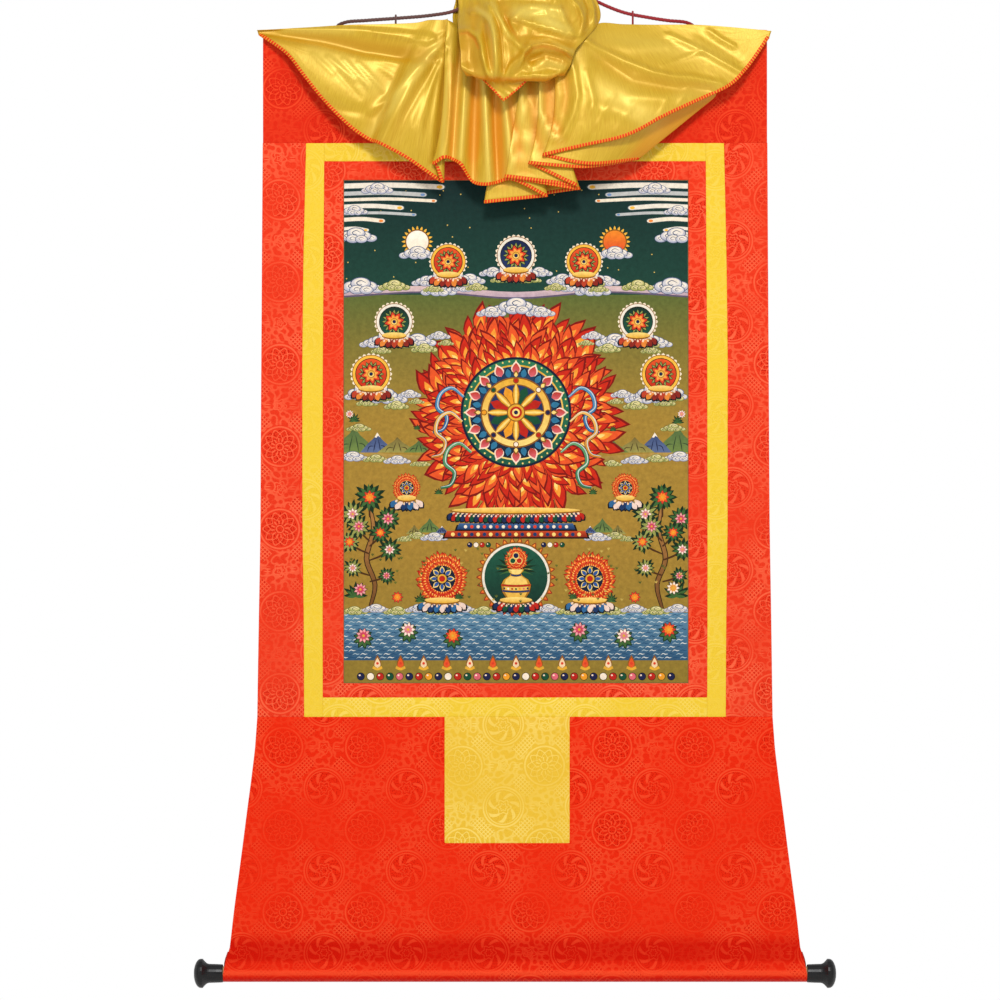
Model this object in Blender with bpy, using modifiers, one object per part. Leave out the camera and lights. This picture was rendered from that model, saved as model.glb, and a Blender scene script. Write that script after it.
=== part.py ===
"""Hanging scroll: a painting in a pieced brocade mount, with a gathered silk veil.

The scroll hangs from a cord. The frame's origin is the top of that cord, where a
nail or hook holds it: +Z up, +X to the viewer's right, the painted side faces -Y.
All sizes are in millimetres and become metres in one place, the MM factor.
"""

import math

import bpy
from mathutils import Vector

MM = 0.001

# ---------------------------------------------------------------- driving sizes
GAP = 0.3                    # between neighbouring pieces
BROCADE = 1.5                # brocade with its paper and cotton backing
CANVAS = 1.2                 # primed cotton of the painting
SILK = 1.0                   # veil

HEADING_BOTTOM = -238.0      # seam between the heading and the sides
SIDE_BOTTOM = -984.0         # seam between the sides and the lower panel
TOP_MIDDLE = -82.0           # top edge of the mount, at its middle
TOP_DROOP = 9.0              # how much lower the top edge is at its ends
TOP_HALF = 335.0             # half width to which the droop is measured

FRAME_TOP_STRIP = 23.3       # yellow frame, height of its top strip
FRAME_BOTTOM_STRIP = 25.0
BORDER_TOP_STRIP = 24.0      # red border inside the frame
BORDER_BOTTOM_STRIP = 18.0
PAINTING_HALF = 224.2
PAINTING_SHIFT = 1.3         # the painting sits a little right of the middle
DOOR_LEFT, DOOR_RIGHT = -91.5, 71.0
DOOR_BOTTOM = -1148.0

ROD_AXIS_Y, ROD_AXIS_Z = 6.0, -1318.0
ROD_RADIUS = 9.2
ROD_END = 408.0              # half length of the rod
SLEEVE_RADIUS = ROD_RADIUS + GAP + BROCADE / 2
KNOB_MOUTH = 379.9           # where each knob begins, just past the cloth
KNOB_LENGTH = 38.0
KNOB_RADIUS = 19.0
KNOB_DOME = 9.0              # how far the tip domes out
KNOB_SHOULDER = 8.5          # length of the hollow curve from the full radius to the neck
KNOB_NECK = 12.4             # radius of the neck at that curve
LOWER_ROWS = (-1176, -1206, -1230, -1246, -1258, -1268, -1277, -1286, -1294, -1300)
SLEEVE_FROM, SLEEVE_TO = 128.0, 388.0   # degrees of the sleeve's turn about the rod, from its front
SEAM_BEHIND = BROCADE + 0.7  # distance from the lower panel to its hem, sewn down behind it

BATTEN_THICK, BATTEN_HIGH, BATTEN_HALF = 6.0, 26.0, 322.0
HEADING_LOOP = (BATTEN_THICK + 2 * GAP + BROCADE) / 2   # radius of the fold over the batten
# The heading's cloth behind the batten, down to the raw edge that is sewn to its own back.
HEADING_BACK = [
    # below the top edge, behind the front cloth
    (36.0, 2 * HEADING_LOOP), (43.0, 0.9 * HEADING_LOOP), (50.0, BROCADE + 0.6), (58.0, BROCADE + 0.6),
]

CORD_RADIUS = 2.3
TIE_RADIUS = 1.3

# Half width of the mount (mm) at each height: nearly straight, then flared.
MOUNT_EDGE = [
    # z,     half width
    (-82, 327.5), (-240, 328.0), (-390, 329.0), (-560, 330.0), (-740, 331.0), (-870, 333.3),
    (-984, 335.0), (-1010, 336.5), (-1046, 340.0), (-1084, 345.5), (-1132, 351.5),
    (-1184, 358.3), (-1236, 365.3), (-1266, 368.8), (-1290, 371.8), (-1306, 376.0), (-1318, 379.5),
]

# Outer and inner half widths of the yellow frame, which bellies a little.
FRAME_EDGE = [
    # z,     outer, inner
    (-238, 271.5, 248.0), (-390, 275.0, 249.0), (-520, 276.4, 250.0),
    (-740, 276.2, 250.3), (-850, 274.6, 250.3), (-984, 274.0, 250.0),
]

# Folds of the veil in the order of its cloth, from the left corner to the right one.
# Each row is one fold line: its top end, its end at the hem, and how far it bows out of
# the straight line between them, which is most two thirds of the way down, or half way down
# at the flap. At a turn or the flap the cloth doubles back on itself: size is the radius of
# that bend, plus where the cloth comes back in front, minus where it comes back behind.
# cells is the cloth's cells before the fold.
VEIL_FOLDS = [
    # kind     size  top x,  y,   z      hem x,  y,   z       bow x, y,  z   cells
    ("edge",    0, (-335,  -7,  -92), (-333,  -8,  -98), (0,   0,   0), 0),
    ("ridge",   0, (-300,  -7,  -90), (-296, -16, -125), (0,  -3,   0), 2),
    ("ridge",   0, (-264,  -7,  -88), (-276, -21, -151), (0,  -5,   0), 2),
    ("ridge",   0, (-216,  -7,  -85), (-246, -26, -188), (0,  -8,   0), 2),
    ("valley",  0, (-168,  -7,  -84), (-210, -26, -223), (0,  -7,   0), 3),
    ("valley",  0, (-126,  -8,  -83), (-188, -24, -237), (0,  -4,   0), 2),
    ("ridge",   0, (-112,  -9,  -83), (-178, -34, -241), (0, -11,   0), 2),
    ("ridge",   0, (-102, -11,  -84), (-142, -37, -260), (0, -10,   0), 3),
    ("valley",  0, (-95,  -11,  -88), (-108, -30, -283), (0,  -5,   0), 3),
    ("turn",    3, (-88,  -13,  -91), (-92,  -31, -291), (0,   0,   0), 2),
    ("turn",    3, (-88,  -20,  -92), (-107, -37, -268), (6,   0,   0), 2),
    ("ridge",   0, (-78,  -23,  -93), (-91,  -43, -261), (2,  -2,   0), 2),
    ("valley",  0, (-70,  -18,  -94), (-81,  -35, -263), (0,   2,   0), 2),
    ("ridge",   0, (-61,  -22,  -95), (-71,  -42, -270), (0,  -2,   0), 2),
    ("valley",  0, (-49,  -16,  -96), (-55,  -34, -292), (0,   2,   0), 2),
    ("ridge",   0, (-37,  -22,  -97), (-36,  -42, -296), (0,  -3,   0), 2),
    ("valley",  0, (-27,  -17,  -97), (-23,  -36.5, -293), (0,  1,   0), 2),
    ("ridge",   0, (-16,  -22,  -98), (-6,   -42, -289), (0,  -2,   0), 2),
    ("turn", -2.3, (-4,   -18,  -99), (42,   -36, -310), (0,   0,   0), 3),
    ("turn", -1.9, (-4,   -12,  -99), (-40, -31.6, -318), (0,   0,   0), 3),
    ("turn",  7.2, (18,   -17, -100), (84, -36.8, -301), (0,   0,   0), 3),
    ("turn",  1.4, (18,   -28, -100), (-13, -45.6, -286), (0,   0,   0), 3),
    ("turn",  1.4, (34,   -31, -101), (80,  -48.6, -297), (0,   0,   0), 3),
    ("turn",  1.4, (34,   -36, -101), (17,  -51.6, -269), (6,   0,   0), 3),
    ("ridge",   0, (46,   -37.6, -101), (90, -52.6, -274), (16, 0,   2), 3),
    ("flap",  1.4, (54,   -39, -102), (158, -24,   -262), (150, 18,   0), 3),
    ("ridge",   0, (54,   -42, -102), (94, -55.4, -270), (18, 0,   2), 3),
    ("turn",  1.4, (54,   -45, -102), (35,  -57.8, -259), (8,   0,   0), 3),
    ("ridge",   0, (74,  -45.5, -102.5), (62, -60, -253), (8, -3,   0), 2),
    ("ridge",   0, (92,   -41, -103), (88,  -61, -247), (6,  -5,   0), 2),
    ("ridge",   0, (112,  -28,  -97), (145, -56, -233), (8,  -6,   0), 3),
    ("ridge",   0, (140,  -14,  -85), (194, -47, -207), (8,  -5,   0), 3),
    ("ridge",   0, (176,  -8,   -85), (246, -34, -182), (5,  -3,   0), 3),
    ("ridge",   0, (236,  -7,   -87), (280, -26, -165), (0,  -2,   0), 2),
    ("valley",  0, (292,  -7,   -93), (302, -18, -142), (0,   0,   0), 2),
    ("edge",    0, (333,  -7,   -95), (330,  -8, -102), (0,   0,   0), 2),
]
FIRST_GATHER, LAST_GATHER = 10, 29      # rows of VEIL_FOLDS whose cloth goes on into the bunch
SKIRT_ROWS = 7
ROW_CROWDING = 1.4           # over 1: rows lie closer together near the top
BELLY_PEAK = 6.75            # makes the bow its full size two thirds of the way down

# The gathered middle of the veil: it rises behind the cord, over it and down in front.
BUNCH_LEVELS = [
    # name      middle x, half, low z, over crown, follows it, y, y at ends, pleats, creased, lifted, tip
    ("rear_foot",      5, 86,  -84,   0, 0.00,   -8,  -8, 2.0, 0, 0, 0),
    ("rear_neck",      7, 88,  -75,   0, 0.00,    1,   1, 1.5, 0, 0, 0),
    ("rear_rise",     10, 91,  -66, -10, 0.35,    7,   7, 1.5, 0, 0, 0),
    ("behind_cord",   12, 91,    0,  -8, 1.00,    7,   7, 1.0, 0, 0, 0),
    ("crown",         13, 90,    0,   0, 1.00,    0,   0, 0.8, 0, 0, 0),
    ("crown_front",   14, 88,    0,  -6, 1.00,  -10,  -8, 1.0, 0, 0, 0),
    ("lobe_top",      15, 87,  -62, -24, 0.60,  -30, -12, 1.5, 1, 0, 0),
    ("lobe_shoulder", 15, 86,  -84,   0, 0.10,  -52, -20, 1.8, 1, 0, 0),
    ("lobe_belly",     7, 77, -108,   0, 0.00,  -68, -50, 1.6, 1, 0, 0),
    ("lobe_front",     3, 73, -132,   0, 0.00,  -75, -60, 1.6, 1, 1, 0),
    ("lobe_chin",      1, 70, -149,   0, 0.00,  -72, -62, 1.2, 1, 1, 0),
    ("lobe_edge",      1, 67, -153,   0, 0.00,  -67, -59, 1.0, 1, 1, 0),
    ("tuck",           0, 62, -147,   0, 0.00,  -61, -54, 0.6, 0, 0, 0.35),
    ("tuck_end",       0, 58, -139,   0, 0.00,  -58, -51, 0.4, 0, 0, 1.20),
]
# Height of the bunch's crown over the cord, from left to right.
CROWN = [
    # x,   z
    (-86, -53), (-60, -37), (-30, -12), (0, 8), (30, 3), (60, -12), (106, -38),
]
LOBE_TIP_X, LOBE_TIP_DROP, LOBE_TIP_WIDTH = -12.0, 36.0, 23.0    # the point under the bunch
CHIN_LIFT, CHIN_SLOPE = 14.0, 3.0       # how the bunch's lower edge rises to the right

# Main creases on the front of the bunch.
LOBE_CREASES = [
    # upper end (x, z), lower end, width, height
    ((-32, -62), (-22, -148), 7, 7.0),      # long ridge down to the chin
    ((-44, -66), (-50, -130), 8, -5.0),     # hollow left of it
    ((-14, -70), (-12, -140), 7, -5.0),     # hollow right of it
    ((8, -72), (16, -112), 8, 4.0),         # ridge beside the pocket
    ((18, -119), (68, -124), 6, 6.0),       # upper rim of the pocket
    ((20, -134), (64, -135), 7, -9.0),      # the pocket
    ((14, -150), (70, -146), 5, 3.0),       # lower rim of the pocket
    ((64, -60), (74, -108), 8, -4.0),       # hollow at the right
]
# Fine uneven pleats all along the bunch.
PLEAT_WAVES = [
    # size, turn per column, start
    (0.6, 1.3, 0.0), (0.7, 0.53, 1.0), (0.4, 0.31, 0.0),
]

# Route of the cord's centre line, from behind the heading up to the hook and down again.
CORD_ROUTE = [
    # x,   y,     z
    (-238, 12.2, -122), (-236, 12.2, -104), (-232, 11.2, -86), (-221, 5.0, -80.6), (-194, 0.5, -78.6),
    (-150, 0.0, -75.5), (-110, 0.0, -72.0), (-80, 0.0, -66.5), (-58, 0.0, -55), (-36, 0.0, -34),
    (-14, 0.0, -7.5), (0, 0.0, 0), (16, 0.0, -5.5), (52, 0.0, -25), (97, 0.0, -49.5),
    (139, 0.0, -67.5), (175, 0.0, -75.0), (200, 0.5, -78.8), (223, 5.0, -80.8), (233, 11.2, -86),
    (237, 12.2, -104), (239, 12.2, -122),
]
CORD_POINTS = 78
TIE_PLACES = {"cord_tie_left": -155.0, "cord_tie_right": 153.0}


# ---------------------------------------------------------------- small helpers
def smooth(t):
    """Ease from 0 to 1."""
    t = min(1.0, max(0.0, t))
    return t * t * (3 - 2 * t)


def read(table, z, column=1):
    """Value of a table's column at height z, in a straight line between its rows."""
    if z >= table[0][0]:
        return table[0][column]
    for upper, lower in zip(table, table[1:]):
        if z >= lower[0]:
            t = (upper[0] - z) / (upper[0] - lower[0])
            return upper[column] + (lower[column] - upper[column]) * t
    return table[-1][column]


def spline(points, i, t, alpha=0.5):
    """Point at share t of segment i of a centripetal Catmull-Rom curve."""
    p1, p2 = points[i], points[i + 1]
    p0 = points[i - 1] if i else p1 * 2 - p2
    p3 = points[i + 2] if i + 2 < len(points) else p2 * 2 - p1
    k0 = 0.0
    k1 = k0 + max((p1 - p0).length, 1e-6) ** alpha
    k2 = k1 + max((p2 - p1).length, 1e-6) ** alpha
    k3 = k2 + max((p3 - p2).length, 1e-6) ** alpha
    k = k1 + (k2 - k1) * t
    a1 = p0 * ((k1 - k) / (k1 - k0)) + p1 * ((k - k0) / (k1 - k0))
    a2 = p1 * ((k2 - k) / (k2 - k1)) + p2 * ((k - k1) / (k2 - k1))
    a3 = p2 * ((k3 - k) / (k3 - k2)) + p3 * ((k - k2) / (k3 - k2))
    b1 = a1 * ((k2 - k) / (k2 - k0)) + a2 * ((k - k0) / (k2 - k0))
    b2 = a2 * ((k3 - k) / (k3 - k1)) + a3 * ((k - k1) / (k3 - k1))
    return b1 * ((k2 - k) / (k2 - k1)) + b2 * ((k - k1) / (k2 - k1))


def material(name, colour, roughness, metallic=0.0):
    """Plain surface with the piece's own colour."""
    made = bpy.data.materials.new(name)
    made.use_nodes = True
    shader = made.node_tree.nodes["Principled BSDF"]
    shader.inputs["Base Color"].default_value = (*colour, 1.0)
    shader.inputs["Roughness"].default_value = roughness
    shader.inputs["Metallic"].default_value = metallic
    return made


def place(name, data, group, surface):
    """Object of one piece, in the scroll's collection, with its own material."""
    piece = bpy.data.objects.new(name, data)
    group.objects.link(piece)
    data.materials.append(surface)
    return piece


def sheet(name, grid, thickness, group, surface, skip=None):
    """Cloth of even thickness on a grid of points (mm), rows first; skip leaves cells out."""
    rows, columns = len(grid), len(grid[0])
    faces = []
    for r in range(rows - 1):
        for c in range(columns - 1):
            corners = [grid[r][c], grid[r][c + 1], grid[r + 1][c + 1], grid[r + 1][c]]
            if any(corner is None for corner in corners) or (skip and skip(r, c)):
                continue
            faces.append([(r, c), (r, c + 1), (r + 1, c + 1), (r + 1, c)])
    used = sorted({corner for face in faces for corner in face})
    index = {corner: n for n, corner in enumerate(used)}
    mesh = bpy.data.meshes.new(name)
    mesh.from_pydata([grid[r][c] * MM for r, c in used], [],
                     [[index[corner] for corner in face] for face in faces])
    mesh.shade_smooth()
    piece = place(name, mesh, group, surface)
    shell = piece.modifiers.new("thickness", "SOLIDIFY")
    shell.thickness = thickness * MM
    shell.offset = 0.0
    shell.use_even_offset = False
    shell.thickness_clamp = 0.0
    return piece


def turned(name, profile, place_x, side, group, surface, steps=24):
    """Round piece turned about the X axis; profile rows are (along, radius), inner end first."""
    mesh = bpy.data.meshes.new(name)
    mesh.from_pydata([(radius * MM, 0, -along * MM) for along, radius in profile], [],
                     [(n, n + 1) for n in range(len(profile) - 1)])
    piece = place(name, mesh, group, surface)
    lathe = piece.modifiers.new("turning", "SCREW")
    lathe.steps = steps
    lathe.render_steps = steps
    lathe.merge_threshold = 0.00005
    lathe.use_merge_vertices = True
    lathe.use_smooth_shade = True
    piece.rotation_euler = (0, side * math.pi / 2, 0)
    piece.location = (place_x * MM, ROD_AXIS_Y * MM, ROD_AXIS_Z * MM)
    return piece


# ---------------------------------------------------------------- the mount
def top_edge(x):
    """Height of the mount's top edge: the batten bends down a little at its ends."""
    return TOP_MIDDLE - TOP_DROOP * (x / TOP_HALF) ** 2


def ripple(x, z):
    """Slow waviness of the hanging mount, none at the batten and at the rod."""
    calm = smooth((top_edge(0) - 60 - z) / 160) * smooth((z + 1235) / 160)
    edge = 0.35 + 0.65 * smooth((abs(x) - 180) / 150)
    wave = math.sin(z / 83 + 0.8 * math.sin(x / 210)) + 0.6 * math.sin(z / 47 + x / 160 + 1.3)
    return 1.3 * calm * edge * wave


def spread(first, last, cells):
    """Evenly spaced values, both ends included."""
    return [first + (last - first) * n / cells for n in range(cells + 1)]


def flat_piece(name, left, right, top, bottom, columns, rows, thickness, group, surface, recess=0.0):
    """Flat cloth between two edges, each a function of height, on the mount's plane."""
    grid = []
    for z in spread(top, bottom, rows):
        row = []
        for x in spread(left(z), right(z), columns):
            row.append(Vector((x, ripple(x, z) + recess, z)))
        grid.append(row)
    return sheet(name, grid, thickness, group, surface)


def heading(group, surface):
    """Top panel, folded back over the batten and stitched to itself below it."""
    radius = HEADING_LOOP
    centre_drop = radius + BROCADE / 2
    half = read(MOUNT_EDGE, -100)
    grid = []
    for x in spread(-half, half, 20):
        top = top_edge(x)
        column = []
        for z in spread(HEADING_BOTTOM + GAP / 2, top - 52, 2):
            column.append(Vector((x, ripple(x, z), z)))
        column.append(Vector((x, 0, top - centre_drop - 14)))
        for angle in spread(180, 0, 6):
            turn = math.radians(angle)
            column.append(Vector((x, radius + radius * math.cos(turn),
                                  top - centre_drop + radius * math.sin(turn))))
        column += [Vector((x, behind, top - below)) for below, behind in HEADING_BACK]
        grid.append(column)
    rows = [list(line) for line in zip(*grid)]
    return sheet("heading", rows, BROCADE, group, surface)


def batten(group, surface):
    """Thin wooden strip in the heading's fold; it keeps the top edge straight."""
    grid = []
    for share in (0.0, 1.0):
        row = []
        for x in spread(-BATTEN_HALF, BATTEN_HALF, 16):
            top = top_edge(x) - BROCADE / 2 - HEADING_LOOP
            row.append(Vector((x, HEADING_LOOP, top - BATTEN_HIGH * share)))
        grid.append(row)
    return sheet("top_batten", grid, BATTEN_THICK, group, surface)


def side_panels(group, surface):
    """Red brocade at both sides of the frame."""
    top, bottom = HEADING_BOTTOM - GAP / 2, SIDE_BOTTOM + GAP / 2

    def outer(z):
        return read(MOUNT_EDGE, z)

    def inner(z):
        return read(FRAME_EDGE, z, 1) + GAP

    flat_piece("side_panel_left", lambda z: -outer(z), lambda z: -inner(z), top, bottom, 2, 18,
               BROCADE, group, surface)
    flat_piece("side_panel_right", inner, outer, top, bottom, 2, 18, BROCADE, group, surface)


def frame_strips(group, surface):
    """Yellow brocade frame: the upright strips run through, the others butt between them."""
    top, bottom = HEADING_BOTTOM - GAP / 2, SIDE_BOTTOM + GAP / 2

    def outer(z):
        return read(FRAME_EDGE, z, 1)

    def inner(z):
        return read(FRAME_EDGE, z, 2)

    flat_piece("frame_left", lambda z: -outer(z), lambda z: -inner(z), top, bottom, 1, 18,
               BROCADE, group, surface)
    flat_piece("frame_right", inner, outer, top, bottom, 1, 18, BROCADE, group, surface)
    flat_piece("frame_top", lambda z: GAP - inner(z), lambda z: inner(z) - GAP,
               top, top - FRAME_TOP_STRIP, 10, 1, BROCADE, group, surface)
    flat_piece("frame_bottom", lambda z: GAP - inner(z), lambda z: inner(z) - GAP,
               bottom + FRAME_BOTTOM_STRIP, bottom, 10, 1, BROCADE, group, surface)


def border_strips(group, surface):
    """Red border between the yellow frame and the painting."""
    top = HEADING_BOTTOM - GAP / 2 - FRAME_TOP_STRIP - GAP
    bottom = SIDE_BOTTOM + GAP / 2 + FRAME_BOTTOM_STRIP + GAP
    left_in = PAINTING_SHIFT - PAINTING_HALF - GAP
    right_in = PAINTING_SHIFT + PAINTING_HALF + GAP

    def outer(z):
        return read(FRAME_EDGE, z, 2) - GAP

    flat_piece("border_left", lambda z: -outer(z), lambda z: left_in, top, bottom, 1, 16,
               BROCADE, group, surface)
    flat_piece("border_right", lambda z: right_in, outer, top, bottom, 1, 16,
               BROCADE, group, surface)
    flat_piece("border_top", lambda z: left_in + GAP, lambda z: right_in - GAP,
               top, top - BORDER_TOP_STRIP, 10, 1, BROCADE, group, surface)
    flat_piece("border_bottom", lambda z: left_in + GAP, lambda z: right_in - GAP,
               bottom + BORDER_BOTTOM_STRIP, bottom, 10, 1, BROCADE, group, surface)
    return top - BORDER_TOP_STRIP - GAP, bottom + BORDER_BOTTOM_STRIP + GAP


def painting(top, bottom, group, surface):
    """Canvas, set level with the brocade around it."""
    flat_piece("painting", lambda z: PAINTING_SHIFT - PAINTING_HALF,
               lambda z: PAINTING_SHIFT + PAINTING_HALF, top, bottom, 10, 16, CANVAS,
               group, surface, recess=(BROCADE - CANVAS) / 2)


def lean(z):
    """How far the lower panel draws back toward the rod's seam."""
    return -1.2 * smooth((-1150 - z) / 70) + 6.0 * smooth((-1236 - z) / 68)


def lower_panel(group, surface):
    """Flared bottom panel; its hem is the sleeve that the rod runs through."""
    path = []
    door_rows = 4
    for z in spread(SIDE_BOTTOM - GAP / 2, DOOR_BOTTOM - GAP, door_rows):
        path.append((lean(z), z, z))
    for z in LOWER_ROWS:
        path.append((lean(z), z, z))
    for angle in spread(SLEEVE_FROM, SLEEVE_TO, 13):
        turn = math.radians(angle)
        y = ROD_AXIS_Y + SLEEVE_RADIUS * math.cos(turn)
        z = ROD_AXIS_Z + SLEEVE_RADIUS * math.sin(turn)
        path.append((y, z, z if angle < 180 else ROD_AXIS_Z))
    for z, edge_z, off in ((-1305.5, -1314, 1.8), (-1299, -1306, 0.0), (-1290, -1296, 0.0)):
        path.append((lean(z) + SEAM_BEHIND + off, z, edge_z))
    grid = []
    for y, z, edge_z in path:
        half = read(MOUNT_EDGE, edge_z)
        xs = spread(-half, DOOR_LEFT - GAP, 5) + spread(DOOR_LEFT - GAP, DOOR_RIGHT + GAP, 3)[1:]
        xs += spread(DOOR_RIGHT + GAP, half, 5)[1:]
        grid.append([Vector((x, y + ripple(x, z), z)) for x in xs])

    def notch(row, column):
        return row < door_rows and 5 <= column < 8

    return sheet("lower_panel", grid, BROCADE, group, surface, notch)


def door_panel(group, surface):
    """Yellow brocade let into the lower panel under the frame."""
    grid = []
    for z in spread(SIDE_BOTTOM - GAP / 2, DOOR_BOTTOM, 4):
        grid.append([Vector((x, lean(z) + ripple(x, z), z)) for x in spread(DOOR_LEFT, DOOR_RIGHT, 3)])
    return sheet("door_panel", grid, BROCADE, group, surface)


# ---------------------------------------------------------------- the rod
def rod_and_knobs(group, wood, black):
    """Wooden roller in the bottom sleeve, with a turned knob pushed onto each end."""
    long, worn = 2 * ROD_END, 1.0
    profile = [(0, 0), (0, ROD_RADIUS - worn), (-worn, ROD_RADIUS), (worn - long, ROD_RADIUS)]
    profile += [(-long, ROD_RADIUS - worn), (-long, 0)]
    turned("bottom_rod", profile, -ROD_END, 1, group, wood)
    for name, side in (("knob_left", -1), ("knob_right", 1)):
        turned(name, knob_profile(), side * KNOB_MOUTH, side, group, black)


def knob_profile():
    """Half section of a knob from its domed tip to its mouth, then into its blind bore."""
    bore = ROD_RADIUS + GAP
    depth = ROD_END - KNOB_MOUTH + GAP
    profile = [(-KNOB_LENGTH, 0.0)]
    for angle in spread(18, 90, 5):
        turn = math.radians(angle)
        along = KNOB_LENGTH - KNOB_DOME + KNOB_DOME * math.cos(turn)
        profile.append((-along, KNOB_RADIUS * math.sin(turn)))
    shoulder = KNOB_LENGTH - KNOB_DOME - 2.5
    profile.append((-shoulder, KNOB_RADIUS))
    for share in spread(0.25, 1.0, 3):
        hollow = (KNOB_RADIUS - KNOB_NECK) * math.sin(share * math.pi / 2)
        profile.append((KNOB_SHOULDER * share - shoulder, KNOB_RADIUS - hollow))
    profile += [(-8.0, KNOB_NECK - 0.3), (-0.8, KNOB_NECK - 0.6), (0.0, KNOB_NECK - 1.2)]
    profile += [(0.0, bore), (-depth, bore), (-depth, 0.0)]
    return profile[::-1]


# ---------------------------------------------------------------- the cord
def cord_curve():
    """Evenly spaced points of the cord's centre line, in mm."""
    route = [Vector(point) for point in CORD_ROUTE]
    fine = []
    for i in range(len(route) - 1):
        fine += [spline(route, i, n / 20) for n in range(20)]
    fine.append(route[-1])
    lengths = [0.0]
    for a, b in zip(fine, fine[1:]):
        lengths.append(lengths[-1] + (b - a).length)
    points = []
    for n in range(CORD_POINTS):
        along = lengths[-1] * n / (CORD_POINTS - 1)
        i = next((k for k in range(1, len(fine)) if lengths[k] >= along - 1e-9), len(fine) - 1)
        t = (along - lengths[i - 1]) / (lengths[i] - lengths[i - 1])
        points.append(fine[i - 1].lerp(fine[i], t))
    return points


def cord_at(x):
    """Point of the cord's centre line above a place along the top edge."""
    points = cord_curve()
    for a, b in zip(points, points[1:]):
        if a.x <= x <= b.x:
            return a.lerp(b, (x - a.x) / (b.x - a.x))
    return points[0] if x < 0 else points[-1]


def wire(name, points, radius, group, surface, resolution):
    """Round cord along a list of points (mm), with closed ends."""
    curve = bpy.data.curves.new(name, "CURVE")
    curve.dimensions = "3D"
    curve.bevel_depth = radius * MM
    curve.bevel_resolution = resolution
    curve.use_fill_caps = True
    line = curve.splines.new("POLY")
    line.points.add(len(points) - 1)
    for target, point in zip(line.points, points):
        target.co = (*(point * MM), 1.0)
    return place(name, curve, group, surface)


def cord_tie(name, x, group, surface):
    """Short loop of cord that holds the hanging cord down to the heading's front."""
    held = cord_at(x)
    reach = CORD_RADIUS + GAP + TIE_RADIUS + 0.1
    front = -(BROCADE / 2 + GAP + TIE_RADIUS)
    foot = top_edge(x)
    points = [Vector((x, front, foot - 16)), Vector((x, front, foot - 8)), Vector((x, front, foot - 1))]
    for angle in spread(205, -30, 8):
        turn = math.radians(angle)
        points.append(Vector((x, held.y + reach * math.cos(turn), held.z + reach * math.sin(turn))))
    return wire(name, points, TIE_RADIUS, group, surface, 2)


# ---------------------------------------------------------------- the veil
def fold_lines():
    """Fold lines of the veil with each turn spelled out, and the cells before each of them."""
    lines, cells, gather = [], [], []
    for n, (kind, size, top, hem, bow, count) in enumerate(VEIL_FOLDS):
        top, hem, bow = Vector(top), Vector(hem), Vector(bow)
        if kind not in ("turn", "flap"):
            parts = [(top, hem, count)]
        else:
            # the cloth reaches the bend, goes round it and comes back in front or behind
            way = 1 if hem.x > Vector(VEIL_FOLDS[n - 1][3]).x else -1
            back = Vector((-way * abs(size), 0, 0))
            step = Vector((0, -size, 0))
            parts = [(top - step, hem + back - step, count),
                     (top, hem, 2), (top + step, hem + back + step, 2)]
        for number, (a, b, c) in enumerate(parts):
            if n == FIRST_GATHER and number == 0:
                gather.append(len(lines))
            lines.append((a, b, bow, kind == "flap"))
            cells.append(c)
        if n == LAST_GATHER:
            gather.append(len(lines) - 1)
    return lines, cells, gather


def skirt_row(lines, cells, down):
    """Points across the veil at one share of the way from its top edge (0) to its hem (1)."""
    late, early = BELLY_PEAK * down ** 2 * (1 - down), 2 * (1 - down) * smooth(2 * down)
    marks = [top.lerp(hem, down) + bow * (early if flap else late) for top, hem, bow, flap in lines]
    row = [marks[0]]
    for i, count in enumerate(cells[1:]):
        row += [spline(marks, i, n / count) for n in range(1, count + 1)]
    return row


def lobe_crease(x, z):
    """Forward push (mm) of the lobe's main ridges and hollows at a place on its front."""
    push = 0.0
    for (x0, z0), (x1, z1), width, height in LOBE_CREASES:
        line = Vector((x1 - x0, z1 - z0))
        t = min(1.0, max(0.0, Vector((x - x0, z - z0)).dot(line) / line.length_squared))
        away = math.hypot(x - x0 - line.x * t, z - z0 - line.y * t)
        push += height * math.exp(-(away / width) ** 2) * (0.35 + 0.65 * math.sin(math.pi * (0.15 + 0.7 * t)))
    return push


def crown_height(x):
    """Height of the crown above a place along the top edge."""
    x = max(CROWN[0][0], min(CROWN[-1][0] - 0.01, x))
    points = [Vector((*row, 0)) for row in CROWN]
    i = max(n for n, row in enumerate(CROWN) if row[0] <= x)
    return spline(points, i, (x - CROWN[i][0]) / (CROWN[i + 1][0] - CROWN[i][0])).y


def bunch_point(level, share, pleat):
    """Point of the bunch on one level, at a share 0..1 of its width."""
    _, middle, half, low, over, follow, y, end_y, depth, creased, lifted, tip = level
    side = 2 * share - 1
    x = middle + half * (0.35 * math.sin(side * math.pi / 2) + 0.65 * side)
    y += (end_y - y) * abs(side) ** 3
    z = low * (1 - follow) + (crown_height(x) + over) * follow
    y -= creased * lobe_crease(x, z)
    z += lifted * (CHIN_LIFT * max(0.0, side - 0.25) - CHIN_SLOPE * side)
    z -= tip * LOBE_TIP_DROP * math.exp(-((x - LOBE_TIP_X) / LOBE_TIP_WIDTH) ** 2)
    return Vector((x, y - depth * pleat, z))


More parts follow.
